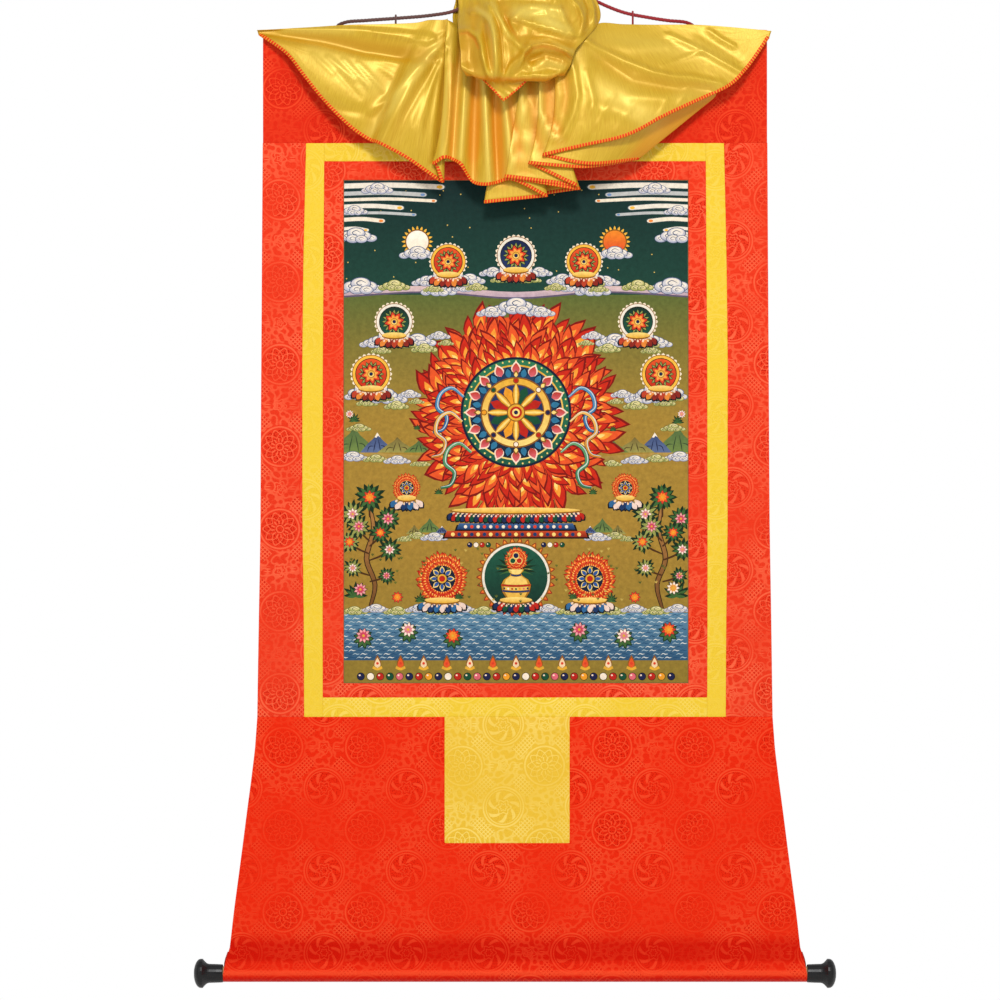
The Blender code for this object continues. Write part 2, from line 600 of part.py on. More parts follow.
def veil(group, surface):
    """Silk veil: two wings, a pleated skirt, and the bunch drawn up over the cord."""
    lines, cells, gather = fold_lines()
    skirt = [skirt_row(lines, cells, share ** ROW_CROWDING) for share in spread(1, 0, SKIRT_ROWS)]
    first, last = (sum(cells[:line + 1]) for line in gather)
    bunch = []
    for level in BUNCH_LEVELS:
        row = [None] * len(skirt[0])
        for column in range(first, last + 1):
            n = column - first
            pleat = sum(size * math.sin(n * turn + start) for size, turn, start in PLEAT_WAVES)
            row[column] = bunch_point(level, n / (last - first), pleat)
        bunch.append(row)
    return sheet("veil", skirt + bunch, SILK, group, surface)


# ---------------------------------------------------------------- assembly
def clear_scene():
    """Empty file to build in."""
    for old in list(bpy.data.objects):
        bpy.data.objects.remove(old, do_unlink=True)


def main():
    clear_scene()
    group = bpy.data.collections.new("hanging_scroll")
    bpy.context.scene.collection.children.link(group)
    red = material("red_brocade", (0.80, 0.045, 0.02), 0.55)
    yellow = material("yellow_brocade", (0.88, 0.60, 0.09), 0.5)
    canvas = material("painted_canvas", (0.28, 0.22, 0.08), 0.6)
    wood = material("plain_wood", (0.52, 0.36, 0.20), 0.6)
    black = material("black_lacquered_wood", (0.01, 0.01, 0.01), 0.3)
    silk = material("gold_satin", (0.85, 0.55, 0.04), 0.35)
    cord = material("dark_red_cord", (0.22, 0.02, 0.02), 0.6)

    heading(group, red)
    batten(group, wood)
    side_panels(group, red)
    frame_strips(group, yellow)
    opening = border_strips(group, red)
    painting(*opening, group, canvas)
    lower_panel(group, red)
    door_panel(group, yellow)
    rod_and_knobs(group, wood, black)
    veil(group, silk)
    wire("hanging_cord", cord_curve(), CORD_RADIUS, group, cord, 3)
    for name, x in TIE_PLACES.items():
        cord_tie(name, x, group, cord)


if __name__ == "__main__":
    main()
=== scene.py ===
"""Dresses a packed hanging scroll: brocade mount, painted canvas, gathered satin veil, cord and rod.

Lengths are in millimetres here, and MM turns them into Blender's metres. The origin is
the top of the hanging cord, +Z is up, +X is to the viewer's right, the painted side faces -Y.
"""

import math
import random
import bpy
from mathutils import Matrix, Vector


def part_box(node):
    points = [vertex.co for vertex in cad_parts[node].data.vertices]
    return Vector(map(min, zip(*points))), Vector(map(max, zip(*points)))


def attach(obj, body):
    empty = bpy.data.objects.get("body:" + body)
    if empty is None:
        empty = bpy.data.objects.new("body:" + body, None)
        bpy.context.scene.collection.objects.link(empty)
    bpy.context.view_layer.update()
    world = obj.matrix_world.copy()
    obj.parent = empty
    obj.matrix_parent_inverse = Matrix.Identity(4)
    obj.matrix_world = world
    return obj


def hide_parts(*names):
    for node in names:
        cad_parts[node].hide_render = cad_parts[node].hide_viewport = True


bl_info = {
    "name": "Hanging Scroll Dressing",
    "version": (1, 0, 0),
    "blender": (4, 5, 0),
    "location": "View3D > Sidebar > Scroll",
    "description": "Cloth, painting, veil, cord and light for a hanging scroll in a brocade mount",
    "category": "Object",
}

import bpy
import numpy as np
from mathutils import Vector
from mathutils.bvhtree import BVHTree
from mathutils.geometry import delaunay_2d_cdt

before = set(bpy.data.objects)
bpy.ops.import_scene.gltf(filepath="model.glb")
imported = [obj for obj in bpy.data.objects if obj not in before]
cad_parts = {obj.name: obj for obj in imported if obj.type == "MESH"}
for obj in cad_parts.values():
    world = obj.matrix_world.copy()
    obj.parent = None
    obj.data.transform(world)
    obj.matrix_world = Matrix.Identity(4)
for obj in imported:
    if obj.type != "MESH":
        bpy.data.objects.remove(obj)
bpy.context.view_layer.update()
MM = 0.001
ROOT = "root"


# ------------------------------------------------------------------ sizes read from the frame
def box_mm(node):
    """Lowest and highest corner of a node of the frame, in mm."""
    low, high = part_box(node)
    return Vector(low) / MM, Vector(high) / MM


def side_rows(node, share=1.0):
    """Height, left and right edge (mm) of each row of a flat node, from the top down."""
    rows = {}
    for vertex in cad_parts[node].data.vertices:
        x, z = vertex.co.x / MM, vertex.co.z / MM
        low, high = rows.get(round(z / share), (z, [x, x]))[1]
        rows[round(z / share)] = (z, [min(low, x), max(high, x)])
    return sorted(((z, *edge) for z, edge in rows.values()), reverse=True)


# ------------------------------------------------------------------ settings
def size(name, description, default, **extra):
    """Length property shown in mm and kept in metres."""
    return bpy.props.FloatProperty(name=name, description=description, default=default * MM,
                                   unit="LENGTH", precision=4, **extra)


def tint(name, description, hex_colour):
    """Colour property from an sRGB hex value."""
    return bpy.props.FloatVectorProperty(name=name, description=description, size=3, min=0, max=1,
                                         subtype="COLOR", default=linear(hex_colour)[:3])


def linear(hex_colour):
    """Linear RGBA of an sRGB hex colour."""
    values = [int(hex_colour[i:i + 2], 16) / 255 for i in (0, 2, 4)]
    return (*(v / 12.92 if v <= 0.04045 else ((v + 0.055) / 1.055) ** 2.4 for v in values), 1.0)


class ScrollSizes(bpy.types.PropertyGroup):
    """Sizes of cloth, threads and trims."""

    brocade_thick: size("Brocade", "Thickness of the brocade with its paper backing", 1.5)
    canvas_thick: size("Canvas", "Thickness of the primed cotton", 1.2)
    silk_thick: size("Silk", "Thickness of the veil's satin", 0.7)
    seam_dip: size("Seam dip", "How far a sewn edge draws back", 0.55)
    figure_pitch: size("Figure repeat", "Distance between like medallions of the brocade", 107)
    overlock_wide: size("Overlock", "Width of the stitched edge of the veil", 4.7)
    stitch_pitch: size("Stitch", "Distance between stitches of the veil's edge", 3.8)
    cord_thick: size("Cord", "Diameter of the hanging cord", 4.6)
    strand_turn: size("Strand turn", "Length of one full twist of the cord", 14)


class ScrollColours(bpy.types.PropertyGroup):
    """Colours of cloth, threads and wood."""

    red: tint("Red brocade", "Ground of the lower panel's brocade", "EC2C11")
    # painted shade: a darker copy of the red for the heading, against the key lamp's stronger light there
    red_top_shaded: tint("Red heading brocade, painted shade", "Ground of the heading's brocade", "DE2D18")
    # painted shade: the deeper red of the bands above and below the rod
    red_painted_shade: tint("Red brocade painted shade", "Ground darkened by painted shade above and below the rod", "CC1006")
    red_side: tint("Red side brocade", "Ground of the narrow red panels' brocade", "EB3B20")
    red_line: tint("Red figure", "Raised threads of the red brocade", "F6502C")
    side_line: tint("Red side figure", "Raised threads of the narrow red panels' brocade", "FA6844")
    red_deep: tint("Red shade", "Sunk threads of the red brocade", "B80C04")
    yellow: tint("Yellow brocade", "Ground of the yellow brocade", "EFC939")
    yellow_door: tint("Yellow door brocade", "Ground of the door's brocade", "EBBE3A")
    yellow_line: tint("Yellow figure", "Raised threads of the yellow brocade", "FFE27A")
    yellow_deep: tint("Yellow shade", "Sunk threads of the yellow brocade", "DDAA2C")
    satin: tint("Satin", "Veil", "D8B22F")
    overlock: tint("Overlock", "Thread of the veil's edge", "E03C0A")
    cord: tint("Cord", "Cord's cotton", "A3121E")
    cord_left: tint("Cord, left side", "Cord's cotton toward its left end", "64403A")
    black: tint("Knobs", "Black of the knobs", "070708")


def sizes(name):
    """One of the sizes, in mm."""
    return getattr(bpy.context.scene.scroll_sizes, name) / MM


def colour(name):
    """One of the colours, as RGBA."""
    return (*getattr(bpy.context.scene.scroll_colours, name), 1.0)


# ------------------------------------------------------------------ node helper
def put(tree, kind, values=(), out=0, **settings):
    """Adds a node, with its settings, links and input values, and returns one of its outputs."""
    node = tree.nodes.new("ShaderNode" + kind)
    for key, value in settings.items():
        setattr(node, key, value)
    pairs = values.items() if isinstance(values, dict) else enumerate(values)
    for key, value in pairs:
        if isinstance(value, bpy.types.NodeSocket):
            tree.links.new(value, node.inputs[key])
        elif value is not None:
            node.inputs[key].default_value = value
    return node.outputs[out]


# Makes a Mix node blend colours: its share is input 0, its colours are inputs 6 and 7.
COLOURS = {"out": 2, "data_type": "RGBA"}

def new_surface(name):
    """Empty material with its tree and output node."""
    surface = bpy.data.materials.new(name)
    surface.use_nodes = True
    surface.node_tree.nodes.clear()
    return surface, surface.node_tree


def finished(surface, shader):
    """The material, with a shader linked to its output."""
    end = surface.node_tree.nodes.new("ShaderNodeOutputMaterial")
    surface.node_tree.links.new(shader, end.inputs["Surface"])
    return surface


def stroke(tree, value, at, width):
    """1 on the line where value passes at, falling to 0 over width."""
    off = put(tree, "Math", [value, at], operation="SUBTRACT")
    off = put(tree, "Math", [off], operation="ABSOLUTE")
    return put(tree, "MapRange", [off, width * 0.35, width, 1.0, 0.0], clamp=True)


def inside(tree, value, limit, soft):
    """1 where value is under limit, 0 where it is over, with a soft step."""
    return put(tree, "MapRange", [value, limit - soft, limit + soft, 1.0, 0.0], clamp=True)


def strongest(tree, parts):
    """Largest of several values."""
    most = parts[0]
    for part in parts[1:]:
        most = put(tree, "Math", [most, part], operation="MAXIMUM")
    return most


def overlap(tree, *parts):
    """Where all of several patterns show: their product."""
    shown = parts[0]
    for part in parts[1:]:
        shown = put(tree, "Math", [shown, part], operation="MULTIPLY")
    return shown


# ------------------------------------------------------------------ the brocade's woven figure
def polar(tree, u, v):
    """Distance and angle of a place from the middle of a motif."""
    square = put(tree, "Math", [u, u], operation="MULTIPLY")
    square = put(tree, "Math", [v, v, square], operation="MULTIPLY_ADD")
    return (put(tree, "Math", [square], operation="SQRT"),
            put(tree, "Math", [v, u], operation="ARCTAN2"))


def lobed(tree, r, angle, radius, depth, lobes, width, start=0.0):
    """Line of a flower with that many lobes."""
    wave = put(tree, "Math", [angle, lobes, start], operation="MULTIPLY_ADD")
    wave = put(tree, "Math", [wave], operation="COSINE")
    edge = put(tree, "Math", [wave, -depth, r], operation="MULTIPLY_ADD")
    return stroke(tree, edge, radius, width)


def whirl(tree, r, angle, arms, twist, inner, outer):
    """Curved arms between two radii."""
    turn = put(tree, "Math", [r, twist], operation="MULTIPLY")
    turn = put(tree, "Math", [angle, arms, turn], operation="MULTIPLY_ADD")
    arm = put(tree, "Math", [turn], operation="SINE")
    arm = put(tree, "MapRange", [arm, 0.15, 0.75, 0.0, 1.0], clamp=True)
    arm = overlap(tree, arm, inside(tree, r, outer, 0.5))
    hole = inside(tree, r, inner, 0.5)
    return put(tree, "Math", [arm, hole], operation="SUBTRACT", use_clamp=True)


def woven_figure():
    """Node group: light figure lines and dark sunk flecks of the brocade at a place, all in mm."""
    tree = bpy.data.node_groups.new("brocade figure", "ShaderNodeTree")
    tree.interface.new_socket("Place", in_out="INPUT", socket_type="NodeSocketVector")
    tree.interface.new_socket("Line", in_out="OUTPUT", socket_type="NodeSocketFloat")
    tree.interface.new_socket("Sunk", in_out="OUTPUT", socket_type="NodeSocketFloat")
    start = tree.nodes.new("NodeGroupInput").outputs["Place"]
    x = put(tree, "SeparateXYZ", [start], out=0)
    y = put(tree, "SeparateXYZ", [start], out=1)
    half = sizes("figure_pitch") / 2
    # coordinates about the medallions (u, v) and about the flowers between them (p, q)
    u = put(tree, "Math", [x, half, -half], operation="WRAP")
    v = put(tree, "Math", [y, half, -half], operation="WRAP")
    p = put(tree, "Math", [x, 2 * half, 0.0], operation="WRAP")
    p = put(tree, "Math", [p, half], operation="SUBTRACT")
    q = put(tree, "Math", [y, 2 * half, 0.0], operation="WRAP")
    q = put(tree, "Math", [q, half], operation="SUBTRACT")
    r, a = polar(tree, u, v)
    medallion = [
        stroke(tree, r, 26.0, 1.5), stroke(tree, r, 22.6, 0.9),
        whirl(tree, r, a, 7, 0.36, 10.5, 20.5),
        lobed(tree, r, a, 8.4, 1.5, 6, 1.1), lobed(tree, r, a, 4.2, 0.8, 6, 0.9),
    ]
    s, b = polar(tree, p, q)
    flower = [
        stroke(tree, s, 25.4, 1.5),
        lobed(tree, s, b, 19.5, 2.2, 10, 1.1), lobed(tree, s, b, 14.0, 2.2, 10, 1.0, math.pi),
        whirl(tree, s, b, 12, 0.0, 6.5, 11.5), stroke(tree, s, 4.6, 1.0),
    ]
    small, bars = [], []
    for across, up in ((p, v), (u, q)):
        t, c = polar(tree, across, up)
        small += [lobed(tree, t, c, 7.4, 1.4, 5, 1.0, 0.8), lobed(tree, t, c, 3.4, 0.8, 5, 0.9)]
        aside = put(tree, "Math", [across], operation="ABSOLUTE")
        tall = put(tree, "Math", [up], operation="ABSOLUTE")
        bar = overlap(tree, stroke(tree, aside, 16.5, 5.5), inside(tree, tall, 4.6, 0.4))
        comb = put(tree, "Math", [tall, 1.9], operation="MULTIPLY")
        comb = put(tree, "Math", [comb], operation="COSINE")
        bars.append(overlap(tree, bar, inside(tree, comb, -0.1, 0.3)))
    # lattice patches between two medallions, at a quarter of the repeat both ways
    au = put(tree, "Math", [u], operation="ABSOLUTE")
    av = put(tree, "Math", [v], operation="ABSOLUTE")
    along = put(tree, "Math", [au, av], operation="SUBTRACT")
    across = put(tree, "Math", [au, av], operation="ADD")
    across = put(tree, "Math", [across, half], operation="SUBTRACT")
    far = put(tree, "Math", [across], operation="ABSOLUTE")
    wide = put(tree, "Math", [along], operation="ABSOLUTE")
    patch = overlap(tree, inside(tree, far, 11.0, 0.6), inside(tree, wide, 21.0, 0.8))
    mesh = []
    for way in (along, across):
        wave = put(tree, "Math", [way, 1.12], operation="MULTIPLY")
        wave = put(tree, "Math", [wave], operation="SINE")
        mesh.append(inside(tree, wave, -0.45, 0.35))
    lattice = overlap(tree, patch, strongest(tree, mesh))
    # scrolling leaves fill what is left
    curl = put(tree, "TexVoronoi", {"Vector": start, "Scale": 0.115, "Randomness": 0.85},
               out="Distance", voronoi_dimensions="2D", feature="SMOOTH_F1")
    leaves = stroke(tree, curl, 0.42, 0.16)
    clear = strongest(tree, [inside(tree, r, 28.0, 0.8), inside(tree, s, 28.0, 0.8), patch])
    leaves = put(tree, "Math", [leaves, clear], operation="SUBTRACT", use_clamp=True)
    line = strongest(tree, medallion + flower + small + bars + [lattice, overlap(tree, leaves, 0.7)])
    speck = put(tree, "TexNoise", {"Vector": start, "Scale": 0.55, "Detail": 1.5, "Roughness": 0.6},
                noise_dimensions="2D", out="Fac")
    speck = put(tree, "MapRange", [speck, 0.52, 0.64, 0.0, 1.0], clamp=True)
    ground = put(tree, "Math", [speck, line], operation="SUBTRACT", use_clamp=True)
    body = strongest(tree, [inside(tree, r, 22.0, 0.8), inside(tree, s, 22.0, 0.8), patch])
    sunk = overlap(tree, ground, put(tree, "Math", [body, 0.75, 0.25], operation="MULTIPLY_ADD"))
    end = tree.nodes.new("NodeGroupOutput")
    tree.links.new(line, end.inputs["Line"])
    tree.links.new(sunk, end.inputs["Sunk"])
    return tree


# Height and half width of the bands by the rod: painted shade in the hollow above it and on its underside,
# and a painted highlight along the sleeve's front.
PAINTED_SHADE_BANDS = [(-1289, 25), (-1326, 8)]
PAINTED_HIGHLIGHT_BAND = (-1316.5, 4.5)


def brocade(name, ground, figure, deep, shift=(0, 0), contrast=1.0, streaks=0.0, foot=None):
    """Silk brocade on a paper backing, woven on a loom: a satin ground that shines in patches,
    with raised figure threads that catch the light and sunk ones that look darker."""
    surface, tree = new_surface(name)
    place = put(tree, "TexCoord", out="Object")
    place = put(tree, "Mapping", {"Vector": place, "Scale": (1 / MM,) * 3,
                                  "Location": (-shift[0], 0, -shift[1])})
    flat = put(tree, "SeparateXYZ", [place], out=0)
    high = put(tree, "SeparateXYZ", [place], out=2)
    wobble = put(tree, "TexNoise", {"Vector": place, "Scale": 0.02, "Detail": 1.0}, out="Color")
    flat_place = put(tree, "CombineXYZ", [flat, high, 0.0])
    flat_place = put(tree, "VectorMath", [wobble, (2.2, 2.2, 0), flat_place], operation="MULTIPLY_ADD")
    group = tree.nodes.new("ShaderNodeGroup")
    group.node_tree = bpy.data.node_groups.get("brocade figure") or woven_figure()
    tree.links.new(flat_place, group.inputs["Place"])
    line, sunk = group.outputs["Line"], group.outputs["Sunk"]
    # the figure shows in some places and fades in others, as the satin turns in the light
    show = put(tree, "TexNoise", {"Vector": place, "Scale": 0.009, "Detail": 2.0}, out="Fac")
    show = put(tree, "MapRange", [show, 0.40, 0.62, 0.30 * contrast, contrast], clamp=True)
    if foot:
        # painted shade above and below the rod: a deeper ground and less of its figure
        shade_band = strongest(tree, [stroke(tree, high, z - shift[1], wide) for z, wide in PAINTED_SHADE_BANDS])
        ground = put(tree, "Mix", {0: overlap(tree, shade_band, 0.85), 6: ground, 7: foot}, **COLOURS)
        calm = put(tree, "Math", [shade_band, -0.55, 1.0], operation="MULTIPLY_ADD")
        show = overlap(tree, show, calm)
        # painted highlight along the sleeve's front, in the figure's lighter red
        highlight_band = stroke(tree, high, PAINTED_HIGHLIGHT_BAND[0] - shift[1], PAINTED_HIGHLIGHT_BAND[1])
        ground = put(tree, "Mix", {0: overlap(tree, highlight_band, 0.7), 6: ground, 7: figure}, **COLOURS)
    base = put(tree, "Mix", {0: overlap(tree, line, show), 6: ground, 7: figure}, **COLOURS)
    base = put(tree, "Mix", {0: overlap(tree, sunk, show), 6: base, 7: deep}, **COLOURS)
    # weft threads, drawn 2 mm apart where real ones are 0.3 mm, so that they show
    weft = put(tree, "Mapping", {"Vector": place, "Scale": (0.05 + streaks, 1, 0.9)})
    weft = put(tree, "TexNoise", {"Vector": weft, "Scale": 1.0, "Detail": 3.0, "Roughness": 0.6}, out="Fac")
    weft = put(tree, "MapRange", [weft, 0.35, 0.7, 0.0, 1.0], clamp=True)
    base = put(tree, "Mix", {0: overlap(tree, weft, 0.16), 6: base, 7: deep}, **COLOURS)
    rough = put(tree, "MapRange", [line, 0.0, 1.0, 0.52, 0.40], clamp=True)
    height = put(tree, "Math", [line, sunk], operation="SUBTRACT")
    height = put(tree, "Math", [weft, 0.25, height], operation="MULTIPLY_ADD")
    bump = put(tree, "Bump", {"Height": height, "Strength": 0.35, "Distance": 0.25 * MM})
    shader = put(tree, "BsdfPrincipled", {
        "Base Color": base, "Roughness": rough, "Normal": bump, "IOR": 1.54,
        "Sheen Weight": 0.05, "Sheen Roughness": 0.4, "Specular IOR Level": 0.25, "Specular Tint": figure,
    })
    return finished(surface, shader)


def backing_paper():
    """Cotton lining glued over paper: matt, slightly blotched red-brown back of the brocade."""
    surface, tree = new_surface("cotton lining")
    place = put(tree, "TexCoord", out="Object")
    blotch = put(tree, "TexNoise", {"Vector": place, "Scale": 14.0, "Detail": 5.0}, out="Fac")
    base = put(tree, "ValToRGB", [blotch])
    ramp = base.node.color_ramp
    ramp.elements[0].position, ramp.elements[0].color = 0.3, linear("A8342A")
    ramp.elements[1].position, ramp.elements[1].color = 0.75, linear("BE4638")
    thread = put(tree, "TexNoise", {"Vector": place, "Scale": 900.0, "Detail": 2.0}, out="Fac")
    bump = put(tree, "Bump", {"Height": thread, "Strength": 0.3, "Distance": 0.3 * MM})
    shader = put(tree, "BsdfPrincipled", {"Base Color": base, "Roughness": 0.9, "Normal": bump,
                                          "Specular IOR Level": 0.2})
    return finished(surface, shader)


def gold_satin():
    """Polyester satin, woven with long floats and pressed: glossy along the folds, with fine
    pulled threads that streak the highlights."""
    surface, tree = new_surface("gold satin")
    weave = put(tree, "UVMap", uv_map="Weave")
    thread = put(tree, "Mapping", {"Vector": weave, "Scale": (700, 45, 1)})
    streak = put(tree, "TexNoise", {"Vector": thread, "Scale": 1.0, "Detail": 4.0}, noise_dimensions="2D",
                 out="Fac")
    crumple = put(tree, "TexNoise", {"Vector": weave, "Scale": 26.0, "Detail": 4.0, "Distortion": 0.6},
                  noise_dimensions="2D", out="Fac")
    tone = put(tree, "MapRange", [streak, 0.25, 0.75, 0.0, 1.0], clamp=True)
    base = put(tree, "Mix", {0: tone, 6: linear("C69A1A"), 7: colour("satin")}, **COLOURS)
    # painted light in the satin's colour: painted shade, deep gold, in its hollows; painted bounce light,
    # orange, between the skirt's folds, where light comes to it off other folds; and a painted sheen, pale,
    # where it is stretched flat
    painted_light = put(tree, "Attribute", out="Color", attribute_name="PaintedLight")
    for channel, hue in enumerate(("C68F0E", "DE8816", "F1D564")):
        share = put(tree, "SeparateColor", [painted_light], out=channel)
        base = put(tree, "Mix", {0: share, 6: base, 7: linear(hue)}, **COLOURS)
    height = put(tree, "Math", [streak, 0.09, crumple], operation="MULTIPLY_ADD")
    bump = put(tree, "Bump", {"Height": height, "Strength": 0.30, "Distance": 1.6 * MM})
    shader = put(tree, "BsdfPrincipled", {
        "Base Color": base, "Roughness": 0.40, "Normal": bump, "IOR": 1.54, "Metallic": 0.15,
        "Specular IOR Level": 0.8, "Specular Tint": linear("FFEFB8"), "Sheen Weight": 0.08,
        "Sheen Roughness": 0.35, "Sheen Tint": linear("FFEFAE"), "Anisotropic": 0.4,
    })
    return finished(surface, shader)


def twisted_cotton():
    """Twisted cotton, dyed crimson and turning greyish brown toward its left: matt, with fine fibres that
    break its highlight."""
    surface, tree = new_surface("cotton cord")
    place = put(tree, "TexCoord", out="Object")
    fibre = put(tree, "TexNoise", {"Vector": place, "Scale": 900.0, "Detail": 3.0}, out="Fac")
    left = put(tree, "SeparateXYZ", [place], out=0)
    left = put(tree, "MapRange", [left, 60 * MM, -110 * MM, 0.0, 1.0], clamp=True)
    base = put(tree, "Mix", {0: left, 6: colour("cord"), 7: colour("cord_left")}, **COLOURS)
    fibre_tone = put(tree, "MapRange", [fibre, 0.3, 0.7, 0.7, 1.0], clamp=True)
    base = put(tree, "VectorMath", {0: base, "Scale": fibre_tone}, operation="SCALE")
    bump = put(tree, "Bump", {"Height": fibre, "Strength": 0.4, "Distance": 0.2 * MM})
    shader = put(tree, "BsdfPrincipled", {"Base Color": base, "Roughness": 0.75, "Normal": bump,
                                          "Sheen Weight": 0.3})
    return finished(surface, shader)


def stitch_thread():
    """Overlock thread, polyester: slanting strands side by side, bright on top and darker between,
    with the gold of the silk showing through."""
    surface, tree = new_surface("overlock thread")
    weave = put(tree, "UVMap", uv_map="Weave")
    along = put(tree, "SeparateXYZ", [weave], out=0)
    round_it = put(tree, "SeparateXYZ", [weave], out=1)
    turn = put(tree, "Math", [along, round_it], operation="ADD")
    turn = put(tree, "Math", [turn, math.tau / (sizes("stitch_pitch") * MM)], operation="MULTIPLY")
    turn = put(tree, "Math", [turn], operation="COSINE")
    strand = put(tree, "MapRange", [turn, -0.95, -0.45, 0.0, 1.0], clamp=True)
    base = put(tree, "Mix", {0: strand, 6: linear("EEB02C"), 7: colour("overlock")}, **COLOURS)
    shader = put(tree, "BsdfPrincipled", {"Base Color": base, "Roughness": 0.55, "Specular IOR Level": 0.2})
    return finished(surface, shader)


def lacquered_wood():
    """Turned wood under black lacquer: deep black with a soft gloss, faint turning rings."""
    surface, tree = new_surface("black lacquered wood")
    place = put(tree, "TexCoord", out="Object")
    ring = put(tree, "Mapping", {"Vector": place, "Scale": (420, 12, 12)})
    ring = put(tree, "TexNoise", {"Vector": ring, "Scale": 1.0, "Detail": 3.0}, out="Fac")
    wear = put(tree, "TexNoise", {"Vector": place, "Scale": 60.0, "Detail": 4.0}, out="Fac")
    base = put(tree, "Mix", {0: wear, 6: colour("black"), 7: linear("131315")}, **COLOURS)
    rough = put(tree, "MapRange", [wear, 0.3, 0.7, 0.28, 0.42], clamp=True)
    bump = put(tree, "Bump", {"Height": ring, "Strength": 0.15, "Distance": 0.2 * MM})
    shader = put(tree, "BsdfPrincipled", {"Base Color": base, "Roughness": rough, "Normal": bump,
                                          "Specular IOR Level": 0.3, "Coat Weight": 0.1,
                                          "Coat Roughness": 0.2})
    return finished(surface, shader)


def bare_wood():
    """Planed softwood: matt, with long straight grain along the piece."""
    surface, tree = new_surface("planed wood")
    place = put(tree, "TexCoord", out="Object")
    grain = put(tree, "Mapping", {"Vector": place, "Scale": (6, 260, 260)})
    grain = put(tree, "TexNoise", {"Vector": grain, "Scale": 1.0, "Detail": 5.0, "Distortion": 0.4},
                out="Fac")
    base = put(tree, "ValToRGB", [grain])
    ramp = base.node.color_ramp
    ramp.elements[0].position, ramp.elements[0].color = 0.3, linear("A9814F")
    ramp.elements[1].position, ramp.elements[1].color = 0.7, linear("D8B684")
    bump = put(tree, "Bump", {"Height": grain, "Strength": 0.2, "Distance": 0.3 * MM})
    shader = put(tree, "BsdfPrincipled", {"Base Color": base, "Roughness": 0.65, "Normal": bump})
    return finished(surface, shader)


# ------------------------------------------------------------------ mesh helpers
EDGE_STEPS = (0.8, 2.2, 4.5)            # mm from a sewn edge to the rows of points beside it

def smooth(t):
    """Ease from 0 to 1."""
    t = min(1.0, max(0.0, t))
    return t * t * (3 - 2 * t)


def stations(first, last, cells):
    """Places from first to last: close together at both ends, and cells apart between them."""
    way = 1 if last > first else -1
    near = [first] + [first + way * step for step in EDGE_STEPS]
    far = [last - way * step for step in reversed(EDGE_STEPS)] + [last]
    middle = [near[-1] + (far[0] - near[-1]) * n / cells for n in range(1, cells)]
    return near + middle + far


def cells_for(width, step):
    """Number of cells of about that step across a width."""
    return max(1, round(abs(width) / step))


def add_piece(name, points, faces, surfaces, weave=None):
    """Object of one piece from points in mm, riding on the scroll, with an optional UV map."""
    mesh = bpy.data.meshes.new(name)
    mesh.from_pydata([tuple(c * MM for c in point) for point in points], [], faces)
    if weave is not None:
        layer = mesh.uv_layers.new(name="Weave")
        flat = [c * MM for loop in mesh.loops for c in weave[loop.vertex_index]]
        layer.data.foreach_set("uv", flat)
    mesh.shade_smooth()
    piece = bpy.data.objects.new(name, mesh)
    bpy.context.scene.collection.objects.link(piece)
    for surface in surfaces:
        mesh.materials.append(surface)
    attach(piece, ROOT)
    return piece


def grid_faces(rows, columns, skip=None):
    """Quads of a grid of points, left to right in rows from the bottom up, facing the viewer;
    skip(row, column) leaves a cell out."""
    return [(r * columns + c, r * columns + c + 1, (r + 1) * columns + c + 1, (r + 1) * columns + c)
            for r in range(rows - 1) for c in range(columns - 1) if not (skip and skip(r, c))]


def thicken(piece, thickness, back_slot=0):
    """Gives a sheet its thickness on both sides of its middle, with another face on the back."""
    shell = piece.modifiers.new("thickness", "SOLIDIFY")
    shell.thickness = thickness * MM
    shell.offset = 0.0
    shell.use_even_offset = False
    shell.material_offset = back_slot


def spline(points, i, t):
    """Point at share t of segment i of a centripetal Catmull-Rom curve."""
    p1, p2 = points[i], points[i + 1]
    p0 = points[i - 1] if i else p1 * 2 - p2
    p3 = points[i + 2] if i + 2 < len(points) else p2 * 2 - p1
    k1 = max((p1 - p0).length, 1e-6) ** 0.5
    k2 = k1 + max((p2 - p1).length, 1e-6) ** 0.5
    k3 = k2 + max((p3 - p2).length, 1e-6) ** 0.5
    k = k1 + (k2 - k1) * t
    a1 = p0 * ((k1 - k) / k1) + p1 * (k / k1)
    a2 = p1 * ((k2 - k) / (k2 - k1)) + p2 * ((k - k1) / (k2 - k1))
    a3 = p2 * ((k3 - k) / (k3 - k2)) + p3 * ((k - k2) / (k3 - k2))
    b1 = a1 * ((k2 - k) / k2) + a2 * (k / k2)
    b2 = a2 * ((k3 - k) / (k3 - k1)) + a3 * ((k - k1) / (k3 - k1))
    return b1 * ((k2 - k) / (k2 - k1)) + b2 * ((k - k1) / (k2 - k1))


def lengths_along(points):
    """Length of a line of points up to each of them."""
    lengths = [0.0]
    for a, b in zip(points, points[1:]):
        lengths.append(lengths[-1] + (b - a).length)
    return lengths

def tube_faces(rings, sides):
    """Faces of a tube of rings of points, closed at both ends."""
    faces = []
    for n in range(rings - 1):
        for k in range(sides):
            a, b = n * sides + k, n * sides + (k + 1) % sides
            faces.append((a, b, b + sides, a + sides))
    return faces + [tuple(reversed(range(sides))), tuple(range((rings - 1) * sides, rings * sides))]

def dress(node, surface):
    """Gives a node of the frame its finish."""
    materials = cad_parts[node].data.materials
    materials.clear()
    materials.append(surface)

